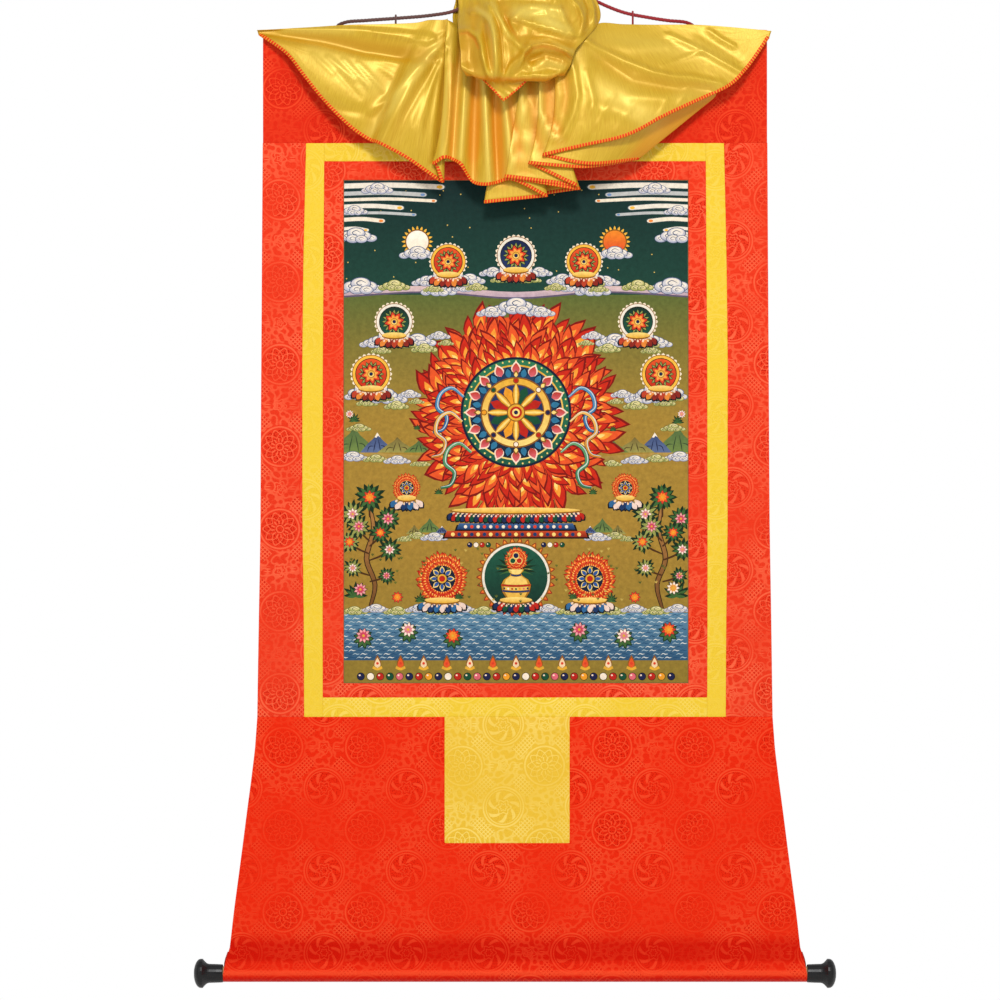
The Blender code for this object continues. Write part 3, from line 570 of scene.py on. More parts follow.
# ------------------------------------------------------------------ the mount
SLEEVE_FROM, SLEEVE_TO, SLEEVE_STEPS = 130, 388, 29     # the sleeve's way round the rod, in degrees
TOP_LOW, TOP_HIGH = box_mm("heading")
SEAM_TOP = TOP_LOW.z
SEAM_BOTTOM = box_mm("lower_panel")[1].z
ROD_LOW, ROD_HIGH = box_mm("bottom_rod")
ROD_Y, ROD_Z = (ROD_LOW.y + ROD_HIGH.y) / 2, (ROD_LOW.z + ROD_HIGH.z) / 2
ROD_RADIUS = (ROD_HIGH.z - ROD_LOW.z) / 2
TOP_DROOP, TOP_HALF = 9.0, 335.0        # how the batten bends down toward its ends
CLOSE = 0.14                            # each sewn edge is let out by this, to meet its neighbour


def top_edge(x):
    """Height of the mount's top edge."""
    return TOP_HIGH.z - TOP_DROOP * (x / TOP_HALF) ** 2


def ripple(x, z):
    """Slow waviness of the hanging mount, none at the batten and at the rod."""
    calm = smooth((top_edge(0) - 60 - z) / 160) * smooth((z + 1235) / 160)
    edge = 0.35 + 0.65 * smooth((abs(x) - 180) / 150)
    wave = math.sin(z / 83 + 0.8 * math.sin(x / 210)) + 0.6 * math.sin(z / 47 + x / 160 + 1.3)
    return 1.3 * calm * edge * wave


def lean(z):
    """How far the lower panel draws back toward the rod's seam."""
    return -1.2 * smooth((-1150 - z) / 70) + 6.0 * smooth((-1236 - z) / 68)


def pucker(along, away):
    """Small gathers that the thread pulls up beside a seam."""
    pull = math.sin(along / 3.9 + 1.4 * math.sin(along / 31)) * (0.6 + 0.4 * math.sin(along / 57))
    return 0.22 * pull * math.exp(-away / 6)


def sewn(x, z, left, right, top, bottom):
    """How far the cloth draws back beside its sewn edges (mm); None is an edge that isn't sewn."""
    back = 0.0
    for away, along in ((left and x - left, z), (right and right - x, z),
                        (top and top - z, x), (bottom and z - bottom, x)):
        if away is not None:
            back += sizes("seam_dip") * math.exp(-max(away, 0.0) / 1.1) + pucker(along, max(away, 0.0))
    return back


def edge_at(rows, z, side):
    """Left (1) or right (2) edge of a flat node at height z."""
    heights = [row[0] for row in reversed(rows)]
    return float(np.interp(z, heights, [row[side] for row in reversed(rows)]))


def flat_panel(node, surfaces, step=9.0, free_side=0):
    """Thin cloth in the place of a flat node; free_side is -1 or 1 where that side isn't sewn."""
    rows = side_rows(node, 20.0)
    low, high = box_mm(node)
    top, bottom = high.z + CLOSE, low.z - CLOSE
    across = cells_for(high.x - low.x, step)
    grid, heights = [], stations(bottom, top, cells_for(top - bottom, step))
    for z in heights:
        left = edge_at(rows, z, 1) - (0 if free_side == -1 else CLOSE)
        right = edge_at(rows, z, 2) + (0 if free_side == 1 else CLOSE)
        for x in stations(left, right, across):
            back = sewn(x, z, None if free_side == -1 else left, None if free_side == 1 else right,
                        top, bottom)
            grid.append(Vector((x, ripple(x, z) + back, z)))
    columns = len(grid) // len(heights)
    piece = add_piece(node + "_cloth", grid, grid_faces(len(heights), columns), surfaces)
    thicken(piece, sizes("brocade_thick"), back_slot=1)
    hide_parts(node)


def heading_cloth(surfaces):
    """Top panel, folded back over the batten and sewn to itself below it."""
    low, high = TOP_LOW, TOP_HIGH
    thick = sizes("brocade_thick")
    radius = (high.y - low.y) / 2 - thick / 2 - 0.5
    xs = stations(low.x, high.x, cells_for(high.x - low.x, 9.0))
    grid = []
    for x in xs:
        top = top_edge(x)
        column = []
        for z in stations(SEAM_TOP - CLOSE, top - 52, 12):
            column.append(Vector((x, ripple(x, z) + sewn(x, z, None, None, None, SEAM_TOP), z)))
        column.append(Vector((x, 0, top - 40)))
        for n in range(13):
            turn = math.pi * (1 - n / 12)
            column.append(Vector((x, radius + radius * math.cos(turn),
                                  top - radius - thick / 2 + radius * math.sin(turn))))
        for below, behind in ((36, 2 * radius), (43, 0.9 * radius), (50, thick + 0.6), (58, thick + 0.6)):
            column.append(Vector((x, behind, top - below)))
        grid.append(column)
    rows = [list(line) for line in zip(*grid)]
    points = [point for row in rows for point in row]
    piece = add_piece("heading_cloth", points, grid_faces(len(rows), len(xs)), surfaces)
    thicken(piece, thick, back_slot=1)
    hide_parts("heading")


def lower_cloth(surfaces):
    """Flared bottom panel with the door's notch; its hem is the sleeve round the rod."""
    node = "lower_panel"
    door_low, door_high = box_mm("door_panel")
    thick = sizes("brocade_thick")
    sleeve = ROD_RADIUS + 0.3 + thick / 2
    rows = [row for row in side_rows(node, 5.0) if row[0] > ROD_Z + 16]
    rows.append((ROD_Z, box_mm(node)[0].x, box_mm(node)[1].x))
    path = [(lean(z), z, z) for z in stations(SEAM_BOTTOM + CLOSE, door_low.z - CLOSE, 18)]
    door_rows = len(path) - 1
    path += [(lean(z), z, z) for z in stations(door_low.z - CLOSE, -1302, 22)[1:]]
    for n in range(SLEEVE_STEPS + 1):
        turn = math.radians(SLEEVE_FROM + (SLEEVE_TO - SLEEVE_FROM) * n / SLEEVE_STEPS)
        z = ROD_Z + sleeve * math.sin(turn)
        path.append((ROD_Y + sleeve * math.cos(turn), z, z if n < 8 else ROD_Z))
    for z, edge_z, off in ((-1305.5, -1314, 1.8), (-1299, -1306, 0.0), (-1290, -1296, 0.0)):
        path.append((lean(z) + thick + 0.7 + off, z, edge_z))
    grid = []
    for y, z, edge_z in path:
        left, right = edge_at(rows, edge_z, 1), edge_at(rows, edge_z, 2)
        door_left, door_right = door_low.x - CLOSE, door_high.x + CLOSE
        xs = stations(left, door_left, 28)
        first = len(xs) - 1
        xs += stations(door_left, door_right, 18)[1:]
        last = len(xs) - 1
        xs += stations(door_right, right, 28)[1:]
        grid.append([(x, y, z) for x in xs])
    grid.reverse()

    def in_door(row, column):
        return row >= len(grid) - 1 - door_rows and first <= column < last

    points = []
    for row in grid:
        for x, y, z in row:
            back = 0.0
            if z > ROD_Z + 12:
                back = sewn(x, z, None, None, SEAM_BOTTOM, None)
                if z > door_low.z - 30:
                    beside = smooth((z - door_low.z + 8) / 8)
                    if x <= door_low.x:
                        back += sewn(x, z, None, door_low.x, None, None) * beside
                    elif x >= door_high.x:
                        back += sewn(x, z, door_high.x, None, None, None) * beside
                    else:
                        back += sewn(x, z, None, None, door_low.z, None)
                back += ripple(x, z) + rod_gathers(x, z)
            points.append(Vector((x, y + back, z)))
    piece = add_piece("lower_panel_cloth", points, grid_faces(len(grid), len(grid[0]), in_door),
                      surfaces)
    thicken(piece, thick, back_slot=1)
    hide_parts(node)


def rod_gathers(x, z):
    """Short upright pulls in the cloth just above the rod's sleeve."""
    near = smooth((-1225 - z) / 60) * smooth((z + 1308) / 16)
    return near * (0.5 * math.sin(x / 17 + 1.1 * math.sin(x / 43)) + 0.35 * math.sin(x / 7.3 + 0.7))


# ------------------------------------------------------------------ the cord
# Route of the cord's centre line, from behind the heading up to the hook and down again.
CORD_ROUTE = [
    # x,   y,     z
    (-238, 12.2, -122), (-236, 12.2, -104), (-232, 11.2, -86), (-221, 5.0, -80.6), (-194, 0.5, -78.6),
    (-150, 0.0, -75.5), (-110, 0.0, -72.0), (-80, 0.0, -66.5), (-58, 0.0, -55), (-36, 0.0, -34),
    (-14, 0.0, -7.5), (0, 0.0, 0), (16, 0.0, -5.5), (52, 0.0, -25), (97, 0.0, -49.5),
    (139, 0.0, -67.5), (175, 0.0, -75.0), (200, 0.5, -78.8), (223, 5.0, -80.8), (233, 11.2, -86),
    (237, 12.2, -104), (239, 12.2, -122),
]


def walk(route, step):
    """Evenly spaced points along a smooth curve through a route, and its length."""
    route = [Vector(point) for point in route]
    fine = [spline(route, i, n / 24) for i in range(len(route) - 1) for n in range(24)] + [route[-1]]
    lengths = lengths_along(fine)
    at = np.linspace(0, lengths[-1], round(lengths[-1] / step) + 1)
    axes = [np.interp(at, lengths, [point[k] for point in fine]) for k in range(3)]
    return [Vector(point) for point in zip(*axes)], lengths[-1]


def twisted(name, points, radius, strands, turn, surface):
    """Cord of twisted strands along points: the strands show as ridges that wind round it."""
    sides, vertices = 18, []
    side = Vector((0, 1, 0))
    for n, (point, along) in enumerate(zip(points, lengths_along(points))):
        ahead = points[min(n + 1, len(points) - 1)] - points[max(n - 1, 0)]
        ahead.normalize()
        side = (side - ahead * side.dot(ahead)).normalized()
        up = ahead.cross(side)
        ends = 0.72 if n in (0, len(points) - 1) else 1.0
        for k in range(sides):
            angle = math.tau * k / sides
            wind = strands * (angle - math.tau * along / turn) / 2
            r = ends * radius * (0.84 + 0.2 * abs(math.cos(wind)))
            vertices.append(point + side * (r * math.cos(angle)) + up * (r * math.sin(angle)))
    return add_piece(name, vertices, tube_faces(len(points), sides), [surface])


# ------------------------------------------------------------------ the veil
# Folds of the veil in the order of its cloth, from the left corner to the right one.
# Each row is one fold line: its top end, its end at the hem, and how far it bows out of
# the straight line between them, which is most two thirds of the way down, or half way down
# at the flap. At a turn or the flap the cloth doubles back on itself: size is the radius of
# that bend, plus where the cloth comes back in front, minus where it comes back behind.
# cells is the cloth's cells before the fold.
VEIL_FOLDS = [
    # kind     size  top x,  y,   z      hem x,  y,   z       bow x, y,  z   cells
    ("edge",    0, (-335,  -7,  -92), (-333,  -8,  -98), (0,   0,   0), 0),
    ("ridge",   0, (-300,  -7,  -90), (-296, -16, -125), (0,  -3,   0), 6),
    ("ridge",   0, (-264,  -7,  -88), (-276, -21, -151), (0,  -5,   0), 4),
    ("ridge",   0, (-216,  -7,  -85), (-246, -26, -188), (0,  -8,   0), 6),
    ("valley",  0, (-168,  -7,  -84), (-210, -26, -223), (0,  -7,   0), 6),
    ("valley",  0, (-126,  -8,  -82), (-188, -24, -237), (0,  -4,   0), 5),
    ("ridge",   0, (-112,  -9,  -79), (-178, -34, -241), (0, -11,   0), 2),
    ("ridge",   0, (-102, -11,  -79), (-142, -37, -260), (0, -10,   0), 3),
    ("valley",  0, (-95,  -11,  -79), (-108, -30, -283), (0,  -5,   0), 3),
    ("turn",    3, (-88,  -13,  -78), (-92,  -31, -291), (0,   0,   0), 2),
    ("turn",    3, (-88,  -20,  -80), (-107, -37, -268), (6,   0,   0), 2),
    ("ridge",   0, (-78,  -23,  -93), (-91,  -43, -261), (2,  -2,   0), 2),
    ("valley",  0, (-70,  -18,  -94), (-81,  -35, -263), (0,   2,   0), 2),
    ("ridge",   0, (-61,  -22,  -95), (-71,  -42, -270), (0,  -2,   0), 2),
    ("valley",  0, (-49,  -16,  -96), (-55,  -34, -292), (0,   2,   0), 2),
    ("ridge",   0, (-37,  -22,  -97), (-36,  -42, -296), (0,  -3,   0), 2),
    ("valley",  0, (-27,  -17,  -97), (-23,  -36.5, -293), (0,  1,   0), 2),
    ("ridge",   0, (-16,  -22,  -98), (-6,   -42, -289), (0,  -2,   0), 2),
    ("turn", -2.3, (-4,   -18,  -99), (42,   -36, -310), (0,   0,   0), 3),
    ("turn", -1.9, (-4,   -12,  -99), (-40, -31.6, -318), (0,   0,   0), 3),
    ("turn",  7.2, (18,   -17, -100), (84, -36.8, -301), (0,   0,   0), 3),
    ("turn",  1.4, (18,   -28, -100), (-13, -45.6, -286), (0,   0,   0), 3),
    ("turn",  1.4, (34,   -31, -101), (80,  -48.6, -297), (0,   0,   0), 3),
    ("turn",  1.4, (34,   -36, -101), (17,  -51.6, -269), (6,   0,   0), 3),
    ("ridge",   0, (46,   -37.6, -101), (90, -52.6, -274), (16, 0,   2), 3),
    ("flap",  1.4, (54,   -39, -102), (158, -24,   -262), (150, 18,   0), 3),
    ("ridge",   0, (54,   -42, -102), (94, -55.4, -270), (18, 0,   2), 3),
    ("turn",  1.4, (54,   -45, -102), (35,  -57.8, -259), (8,   0,   0), 3),
    ("ridge",   0, (74,  -45.5, -102.5), (62, -60, -253), (8, -3,   0), 2),
    ("ridge",   0, (92,   -41, -103), (88,  -61, -247), (6,  -5,   0), 2),
    ("ridge",   0, (108,  -23,  -85), (145, -56, -233), (8,  -6,   0), 6),
    ("ridge",   0, (140,  -14,  -85), (194, -47, -207), (8,  -5,   0), 5),
    ("ridge",   0, (176,  -8,   -85), (246, -34, -182), (5,  -3,   0), 7),
    ("ridge",   0, (236,  -7,   -85), (280, -26, -165), (0,  -2,   0), 8),
    ("valley",  0, (292,  -7,   -89), (302, -18, -142), (0,   0,   0), 6),
    ("edge",    0, (333,  -7,   -93), (330,  -8, -102), (0,   0,   0), 5),
]
FIRST_GATHER, LAST_GATHER = 10, 29      # rows of VEIL_FOLDS whose cloth goes on into the bunch
SKIRT_ROWS = 54
GATHER_BLEND = 12            # columns over which the wings' painted shade in deep gold turns into the skirt's in orange
ROW_CROWDING = 1.4           # over 1: rows lie closer together near the top
BELLY_PEAK = 6.75            # makes the bow its full size two thirds of the way down
FINER = 3                    # cells here for each cell in VEIL_FOLDS
WRINKLE_DEPTH = 1.25         # how much deeper the bunch's wrinkles are than their table says
MOST_PAINTED_LIGHT = 0.8              # the most that the painted shade, bounce light and sheen each cover the satin's own colour
DEEP_HOLLOW, DEEP_CREASE = 6.5, 12.0    # mm behind its neighbours, and mm pushed in, that get the fullest painted shade

# The gathered middle of the veil: it rises behind the cord, over it and down in front.
BUNCH_LEVELS = [
    # name, middle x, half width, low z, over the crown, how far it follows the crown, y, y at its
    # ends, depth of its pleats, its shares of the creases, of the chin's rise and of the tip, rows
    ("rear_foot",      5, 86,  -84,   0, 0.00,   -8,  -8, 2.0, 0, 0, 0, 3),
    ("rear_neck",      7, 88,  -75,   0, 0.00,    1,   1, 1.5, 0, 0, 0, 2),
    ("rear_rise",     10, 90,  -66, -10, 0.35,    7,   7, 1.5, 0, 0, 0, 2),
    ("behind_cord",   10, 88,    0,  -8, 1.00,    7,   7, 1.0, 0, 0, 0, 5),
    ("crown",         10, 86,    0,   0, 1.00,    0,   0, 0.9, 0, 0, 0, 4),
    ("crown_front",   12, 86,    0,  -6, 1.00,  -10,  -8, 0.8, 0.5, 0, 0, 4),
    ("lobe_top",      18, 91,  -62, -24, 0.60,  -30, -12, 0.5, 1, 0, 0, 8),
    ("lobe_shoulder", 18, 92,  -84,   0, 0.10,  -52, -20, 0.3, 1, 0, 0, 11),
    ("lobe_belly",     8, 80, -110,   0, 0.00,  -68, -50, 0.1, 1, 0, 0, 12),
    ("lobe_front",     4, 74, -138,   0, 0.00,  -75, -60, 0.1, 1, 1, 0, 12),
    ("lobe_chin",      1, 70, -158,   0, 0.00,  -72, -62, 0.1, 1, 1, 0, 8),
    ("lobe_edge",      1, 67, -163,   0, 0.00,  -67, -59, 0.2, 1, 1, 0, 2),
    ("tuck",           0, 62, -156,   0, 0.00,  -61, -54, 0.2, 1, 0, 0.35, 3),
    ("tuck_end",       0, 58, -147,   0, 0.00,  -60, -51, 0.2, 1, 0, 1.20, 6),
]
# Height of the bunch's crown over the cord, from left to right.
CROWN = [
    # x,   z
    (-86, -53), (-60, -37), (-30, -12), (0, 8), (30, 3), (60, -12), (106, -38),
]
# The point under the bunch: how far its edge comes down, from left to right.
LOBE_TIP = [
    # x, down
    (-46, 0), (-38, 15), (-30, 22), (-15, 35), (4, 22), (26, 5), (31, 0),
]
CHIN_LIFT, CHIN_SLOPE = 38.0, 3.0       # how the bunch's lower edge rises to the right
HANG_FROM, HANG_SHARE = -100, 0.86      # below this height the bunch's creases are drawn out by this

# Creases of the bunch's front: a line (x, z), its width on the left and on the right of the way it
# runs, and how far it comes toward the viewer.
LOBE_CREASES = [
    ([(-32, -62), (-22, -148)], 7, 7, 6.0),      # long ridge down to the chin
    ([(-50, -72), (-54, -130)], 9, 9, -6.0),     # hollow left of it
    ([(-12, -70), (-8, -140)], 7, 7, -4.0),      # hollow right of it
    ([(8, -72), (16, -112)], 8, 8, 4.0),         # ridge beside the pocket
    ([(18, -119), (68, -124)], 7, 6, 6.0),       # upper rim of the pocket
    ([(22, -135), (62, -136)], 8, 8, -8.0),      # the pocket
    ([(14, -151), (70, -147)], 5, 5, 3.0),       # lower rim of the pocket
    ([(64, -60), (74, -108)], 8, 8, -4.0),       # hollow at the right
]
LOBE_WRINKLES = [
    # the puff's upper edge
    ([(-46, -60), (-8, -56), (24, -58), (52, -62)], 4, 4, -2.6),
    ([(-44, -52), (0, -45), (40, -50)], 4, 4, 2.2),
    ([(48, -44), (56, -52), (50, -60)], 4, 4, 3.0),
    # the flap at the left and the hollow beside it
    ([(-72, -96), (-60, -97), (-49, -105), (-44, -115), (-42, -128), (-37, -145), (-30, -156)], 6, 2.2, 7.5),
    ([(-61, -110), (-59, -130), (-50, -143)], 8, 8, -4.0),
    ([(-75, -98), (-73, -136), (-58, -149)], 4, 4, 3.0),
    # long folds that come down to the chin
    ([(-57, -72), (-43, -74), (-32, -87), (-27, -104), (-25, -130), (-25, -154)], 5, 2.8, 5.0),
    ([(-40, -90), (-38, -112), (-33, -140)], 3.4, 3.4, -3.6),
    ([(-41, -58), (-25, -71), (-16, -87), (-8, -104), (12, -121)], 3.0, 4.4, 4.6),
    ([(-30, -66), (-21, -92), (-18, -116), (-16, -142)], 3, 3, -3.4),
    ([(-26, -58), (-6, -88), (4, -106), (18, -118)], 3, 3.6, 3.2),
    ([(-22, -60), (-13, -80), (-3, -99), (12, -113)], 3, 3, -3.0),
    # the crumpled bright face in the middle
    ([(-4, -82), (10, -86), (31, -93), (74, -104)], 10, 2.4, 5.0),
    ([(-4, -82), (8, -70), (20, -64), (44, -66), (58, -68)], 2.6, 3, 3.0),
    ([(58, -66), (64, -82), (74, -102)], 2.6, 3.4, 3.4),
    ([(16, -76), (34, -71), (52, -77)], 2.6, 2.6, 1.8),
    ([(26, -84), (44, -83), (62, -92)], 2.2, 2.2, 1.6),
    ([(12, -80), (30, -79), (46, -74)], 2.4, 2.4, -1.4),
    ([(38, -68), (42, -80), (50, -92)], 2.2, 2.2, 1.2),
    ([(14, -104), (40, -107), (70, -114)], 7, 7, -3.0),
    # the pocket
    ([(9, -133), (12, -124), (21, -117), (34, -114), (49, -116), (64, -121), (78, -131)], 5, 2.2, 6.5),
    ([(20, -131), (38, -124), (60, -128)], 4, 4, -5.0),
    ([(24, -139), (42, -134), (64, -138)], 5, 5, 4.0),
    ([(-14, -155), (-6, -138), (6, -129)], 2.6, 6, 3.4),
    ([(-2, -148), (10, -141), (16, -146)], 4, 4, -2.4),
    ([(-14, -154), (24, -149), (48, -151), (72, -141)], 3, 3, 2.0),
    # upright folds at the right
    ([(72, -52), (82, -64), (88, -80), (86, -100)], 2.6, 3, 4.4),
    ([(88, -48), (94, -66), (94, -92)], 2.6, 2.6, -3.2),
    ([(96, -46), (102, -66), (102, -90)], 2.4, 2.6, 3.6),
    ([(106, -62), (107, -90)], 2.2, 2.2, -2.0),
    # threads of the point under the bunch
    ([(-34, -160), (-12, -176)], 1.8, 1.8, 1.4),
    ([(-26, -158), (-3, -173)], 1.8, 1.8, 1.4),
    ([(-18, -156), (6, -168)], 1.8, 1.8, 1.2),
]
# Creases of the wings and the skirt, the same way.
SKIRT_CREASES = [
    # left wing: roll and trough along its top
    ([(-334, -95), (-253, -108), (-195, -122), (-113, -133)], 12, 5, -7.0),
    ([(-300, -88), (-200, -92), (-150, -96), (-108, -102)], 4, 8, 4.4),
    ([(-183, -96), (-150, -101), (-113, -109), (-92, -97)], 2.6, 2.6, 2.0),
    # crease that falls from the gathers to the left
    ([(-91, -108), (-116, -131), (-140, -158), (-156, -177), (-186, -200)], 3.4, 6, 3.6),
    ([(-186, -202), (-222, -196), (-250, -186)], 7, 7, -2.4),
    # band of sheen and the hollows beside it
    ([(-100, -122), (-118, -142), (-135, -164), (-156, -206), (-172, -246)], 5, 7, 3.4),
    ([(-98, -128), (-120, -166), (-142, -206), (-152, -238)], 5, 5, -3.0),
    ([(-93, -118), (-106, -160), (-120, -210), (-128, -250)], 4, 4, 2.8),
    ([(-90, -120), (-99, -170), (-112, -261)], 2.4, 4, 3.0),
    # fine slanting pulls
    ([(-242, -128), (-208, -158)], 3, 3, 2.2),
    ([(-222, -131), (-188, -168)], 3, 3, 2.2),
    ([(-203, -136), (-170, -172)], 3, 3, 2.0),
    ([(-262, -124), (-236, -150)], 3, 3, 1.2),
    ([(-176, -140), (-150, -158)], 3, 3, 1.3),
    ([(-186, -128), (-150, -136)], 3, 3, 1.2),
    ([(-230, -150), (-200, -182)], 3, 3, -1.2),
    # right wing: its long ridge, the hollow under it, pressed folds that cross it
    ([(90, -106), (104, -116), (142, -134), (180, -149), (205, -154), (228, -155), (268, -163)], 3, 6, 6.0),
    ([(112, -136), (150, -160), (210, -172), (250, -172)], 7, 12, -5.0),
    ([(190, -141), (216, -130), (243, -119)], 2.4, 4, 2.0),
    ([(252, -92), (268, -104), (284, -113)], 2.4, 4, 2.0),
    ([(200, -98), (250, -122), (296, -148)], 2.4, 6, 3.4),
    ([(240, -98), (290, -132)], 7, 7, -1.6),
    ([(110, -112), (150, -116), (196, -112)], 8, 8, 2.2),
    ([(102, -196), (130, -200), (160, -214)], 9, 9, 2.6),
    ([(150, -182), (190, -184), (225, -178)], 8, 8, 2.2),
    ([(92, -150), (100, -186), (96, -232)], 5, 5, 2.4),
    ([(128, -180), (104, -222)], 3, 3, 1.2),
    ([(150, -196), (128, -230)], 3, 3, 1.0),
    ([(196, -186), (186, -208)], 3, 3, 1.2),
    ([(222, -172), (210, -194)], 3, 3, 1.2),
    # skirt: upright pleats and the ridge beside its overlap
    ([(-43, -150), (-37, -227), (-32, -296)], 3.2, 3.2, 2.8),
    ([(-30, -150), (-27, -220), (-22, -290)], 3.4, 3.4, -2.4),
    ([(-18, -150), (-8, -244), (-1, -286)], 3, 3, 3.0),
    ([(-7, -150), (-3, -203), (11, -280)], 3.4, 3.4, -2.4),
    ([(4, -150), (14, -231), (23, -270)], 3, 3, 2.2),
    ([(19, -150), (24, -219), (34, -264)], 3.2, 3.2, -2.4),
    ([(31, -150), (32, -200), (40, -222), (51, -236)], 2.6, 4, 3.6),
    ([(44, -152), (46, -200), (60, -240)], 4, 4, -2.4),
    # rounded fold over the skirt
    ([(70, -126), (77, -150), (81, -182), (76, -206), (62, -236)], 3, 5, 4.4),
    ([(60, -140), (66, -180), (60, -222)], 5, 5, -3.2),
]
# Painted shade on the silk of wings and skirt, deep gold on the wings and orange between the skirt's folds: a
# line, its widths and how much.
SKIRT_SHADES = [
    ([(-330, -98), (-250, -106), (-180, -114), (-116, -124)], 9, 14, 0.8),    # under the left wing's roll
    ([(-112, -120), (-130, -160), (-142, -196), (-168, -240)], 10, 8, 0.4),
    ([(-300, -148), (-250, -190), (-200, -232)], 10, 10, 0.35),
    # between the skirt's pleats
    ([(-81, -140), (-84, -256)], 4.5, 4.5, 0.6),
    ([(-50, -140), (-49, -200), (-55, -256)], 8, 8, 0.8),
    ([(-26, -140), (-22, -235), (-16, -290)], 8, 8, 0.85),
    ([(-8, -140), (-5, -203), (10, -280)], 7, 7, 0.75),
    ([(20, -140), (25, -219), (35, -262)], 6, 6, 0.75),
    ([(42, -120), (44, -214), (58, -240)], 10, 8, 0.8),
    ([(66, -120), (66, -200)], 6, 6, 0.45),
    ([(100, -108), (150, -142), (215, -160), (280, -166)], 3, 12, 0.5),
    ([(120, -236), (190, -212), (250, -178)], 10, 10, 0.3),
]
# Painted sheen, where it is stretched flat.
SKIRT_SHEEN = [
    ([(-262, -122), (-214, -144), (-166, -172)], 16, 16, 0.38),
    ([(-98, -112), (-128, -148), (-160, -196), (-188, -226)], 6, 9, 0.4),
    ([(-300, -92), (-210, -94)], 4, 4, 0.3),
    ([(112, -104), (180, -112), (268, -124)], 15, 16, 0.25),
    ([(112, -172), (142, -190), (176, -214)], 15, 15, 0.42),
    ([(210, -180), (262, -168)], 9, 9, 0.2),
    # ridges of the skirt's pleats
    ([(-87, -150), (-90, -187), (-95, -256)], 3.5, 3.5, 0.45),
    ([(-72, -146), (-76, -187), (-78, -260)], 4.5, 4.5, 0.5),
    ([(-59, -146), (-63, -184), (-71, -258)], 3.5, 3.5, 0.45),
    ([(-43, -150), (-37, -227), (-32, -296)], 4.2, 4.2, 0.6),
    ([(-18, -165), (-8, -244), (-1, -286)], 3.6, 3.6, 0.5),
    ([(4, -160), (14, -231), (23, -268)], 3.6, 3.6, 0.45),
    ([(31, -150), (32, -203), (46, -232), (60, -240)], 2.6, 3, 0.55),
]
# Painted shade on the bunch's front, the same way.
LOBE_SHADES = [
    ([(-66, -100), (-62, -122), (-52, -142)], 9, 11, 1.0),        # hollow beside the flap
    ([(-56, -62), (-56, -84)], 9, 9, 0.6),
    ([(-36, -82), (-36, -104)], 6, 6, 0.6),
    ([(-2, -84), (10, -104), (30, -112), (70, -116)], 10, 10, 0.75),
    ([(-16, -60), (-6, -74)], 8, 8, 0.6),
    ([(-12, -142), (0, -130), (14, -124)], 6, 8, 0.6),
    ([(18, -128), (44, -124), (70, -134)], 5, 8, 0.7),            # inside the pocket
    ([(-60, -148), (-10, -158), (44, -156), (74, -142)], 3, 6, 0.9),
    ([(82, -70), (88, -100)], 5, 5, 0.5),
]
# Thin orange rims, where light comes through the silk's edge.
LOBE_RIMS = [
    ([(-71, -101), (-62, -99), (-52, -107), (-47, -118)], 1.8, 1.8, 0.8),
    ([(-76, -138), (-60, -149), (-30, -153), (40, -153), (66, -146), (80, -134)], 2.2, 2.2, 0.8),
    ([(13, -126), (23, -119), (36, -117), (50, -119), (66, -125), (78, -133)], 1.6, 1.6, 0.7),
    ([(-36, -90), (-30, -112), (-29, -140)], 1.5, 1.5, 0.5),
    ([(-13, -76), (-6, -92), (4, -110)], 1.5, 1.5, 0.4),
]
# Painted sheen on the bunch's front, the same way.
LOBE_SHEEN = [
    ([(2, -74), (36, -72), (58, -76)], 9, 9, 0.75),               # the crumpled face in the middle
    ([(34, -84), (66, -96)], 7, 7, 0.7),
    ([(-50, -66), (-34, -80), (-28, -104), (-28, -146)], 4, 4, 0.45),
    ([(-30, -60), (-18, -88), (-4, -116)], 3, 3, 0.35),
    ([(20, -112), (44, -109), (74, -122)], 2.4, 2.4, 0.45),
    ([(30, -134), (60, -138)], 4, 4, 0.35),
]
# Fine uneven pleats all along the bunch.
PLEAT_WAVES = [
    # size, turn per column, start
    (0.6, 1.3, 0.0), (0.7, 0.53, 1.0), (0.4, 0.31, 0.0),
]


def fold_lines():
    """Fold lines of the veil with each turn spelled out, and the cells before each of them."""
    lines, cells, gather = [], [], []
    for n, (kind, size_, top, hem, bow, count) in enumerate(VEIL_FOLDS):
        top, hem, bow = Vector(top), Vector(hem), Vector(bow)
        if kind not in ("turn", "flap"):
            parts = [(top, hem, count)]
        else:
            # the cloth reaches the bend, goes round it and comes back in front or behind
            way = 1 if hem.x > Vector(VEIL_FOLDS[n - 1][3]).x else -1
            back = Vector((-way * abs(size_), 0, 0))
            step = Vector((0, -size_, 0))
            parts = [(top - step, hem + back - step, count),
                     (top, hem, 2), (top + step, hem + back + step, 2)]
        for number, (a, b, c) in enumerate(parts):
            if n == FIRST_GATHER and number == 0:
                gather.append(len(lines))
            lines.append((a, b, bow, kind == "flap"))
            cells.append(c)
        if n == LAST_GATHER:
            gather.append(len(lines) - 1)
    return lines, cells, gather


def skirt_row(lines, cells, down):
    """Points across the veil at one share of the way from its top edge (0) to its hem (1)."""
    late, early = BELLY_PEAK * down ** 2 * (1 - down), 2 * (1 - down) * smooth(2 * down)
    marks = [top.lerp(hem, down) + bow * (early if flap else late) for top, hem, bow, flap in lines]
    row = [marks[0]]
    for i, count in enumerate(cells[1:]):
        row += [spline(marks, i, n / (count * FINER)) for n in range(1, count * FINER + 1)]
    return row


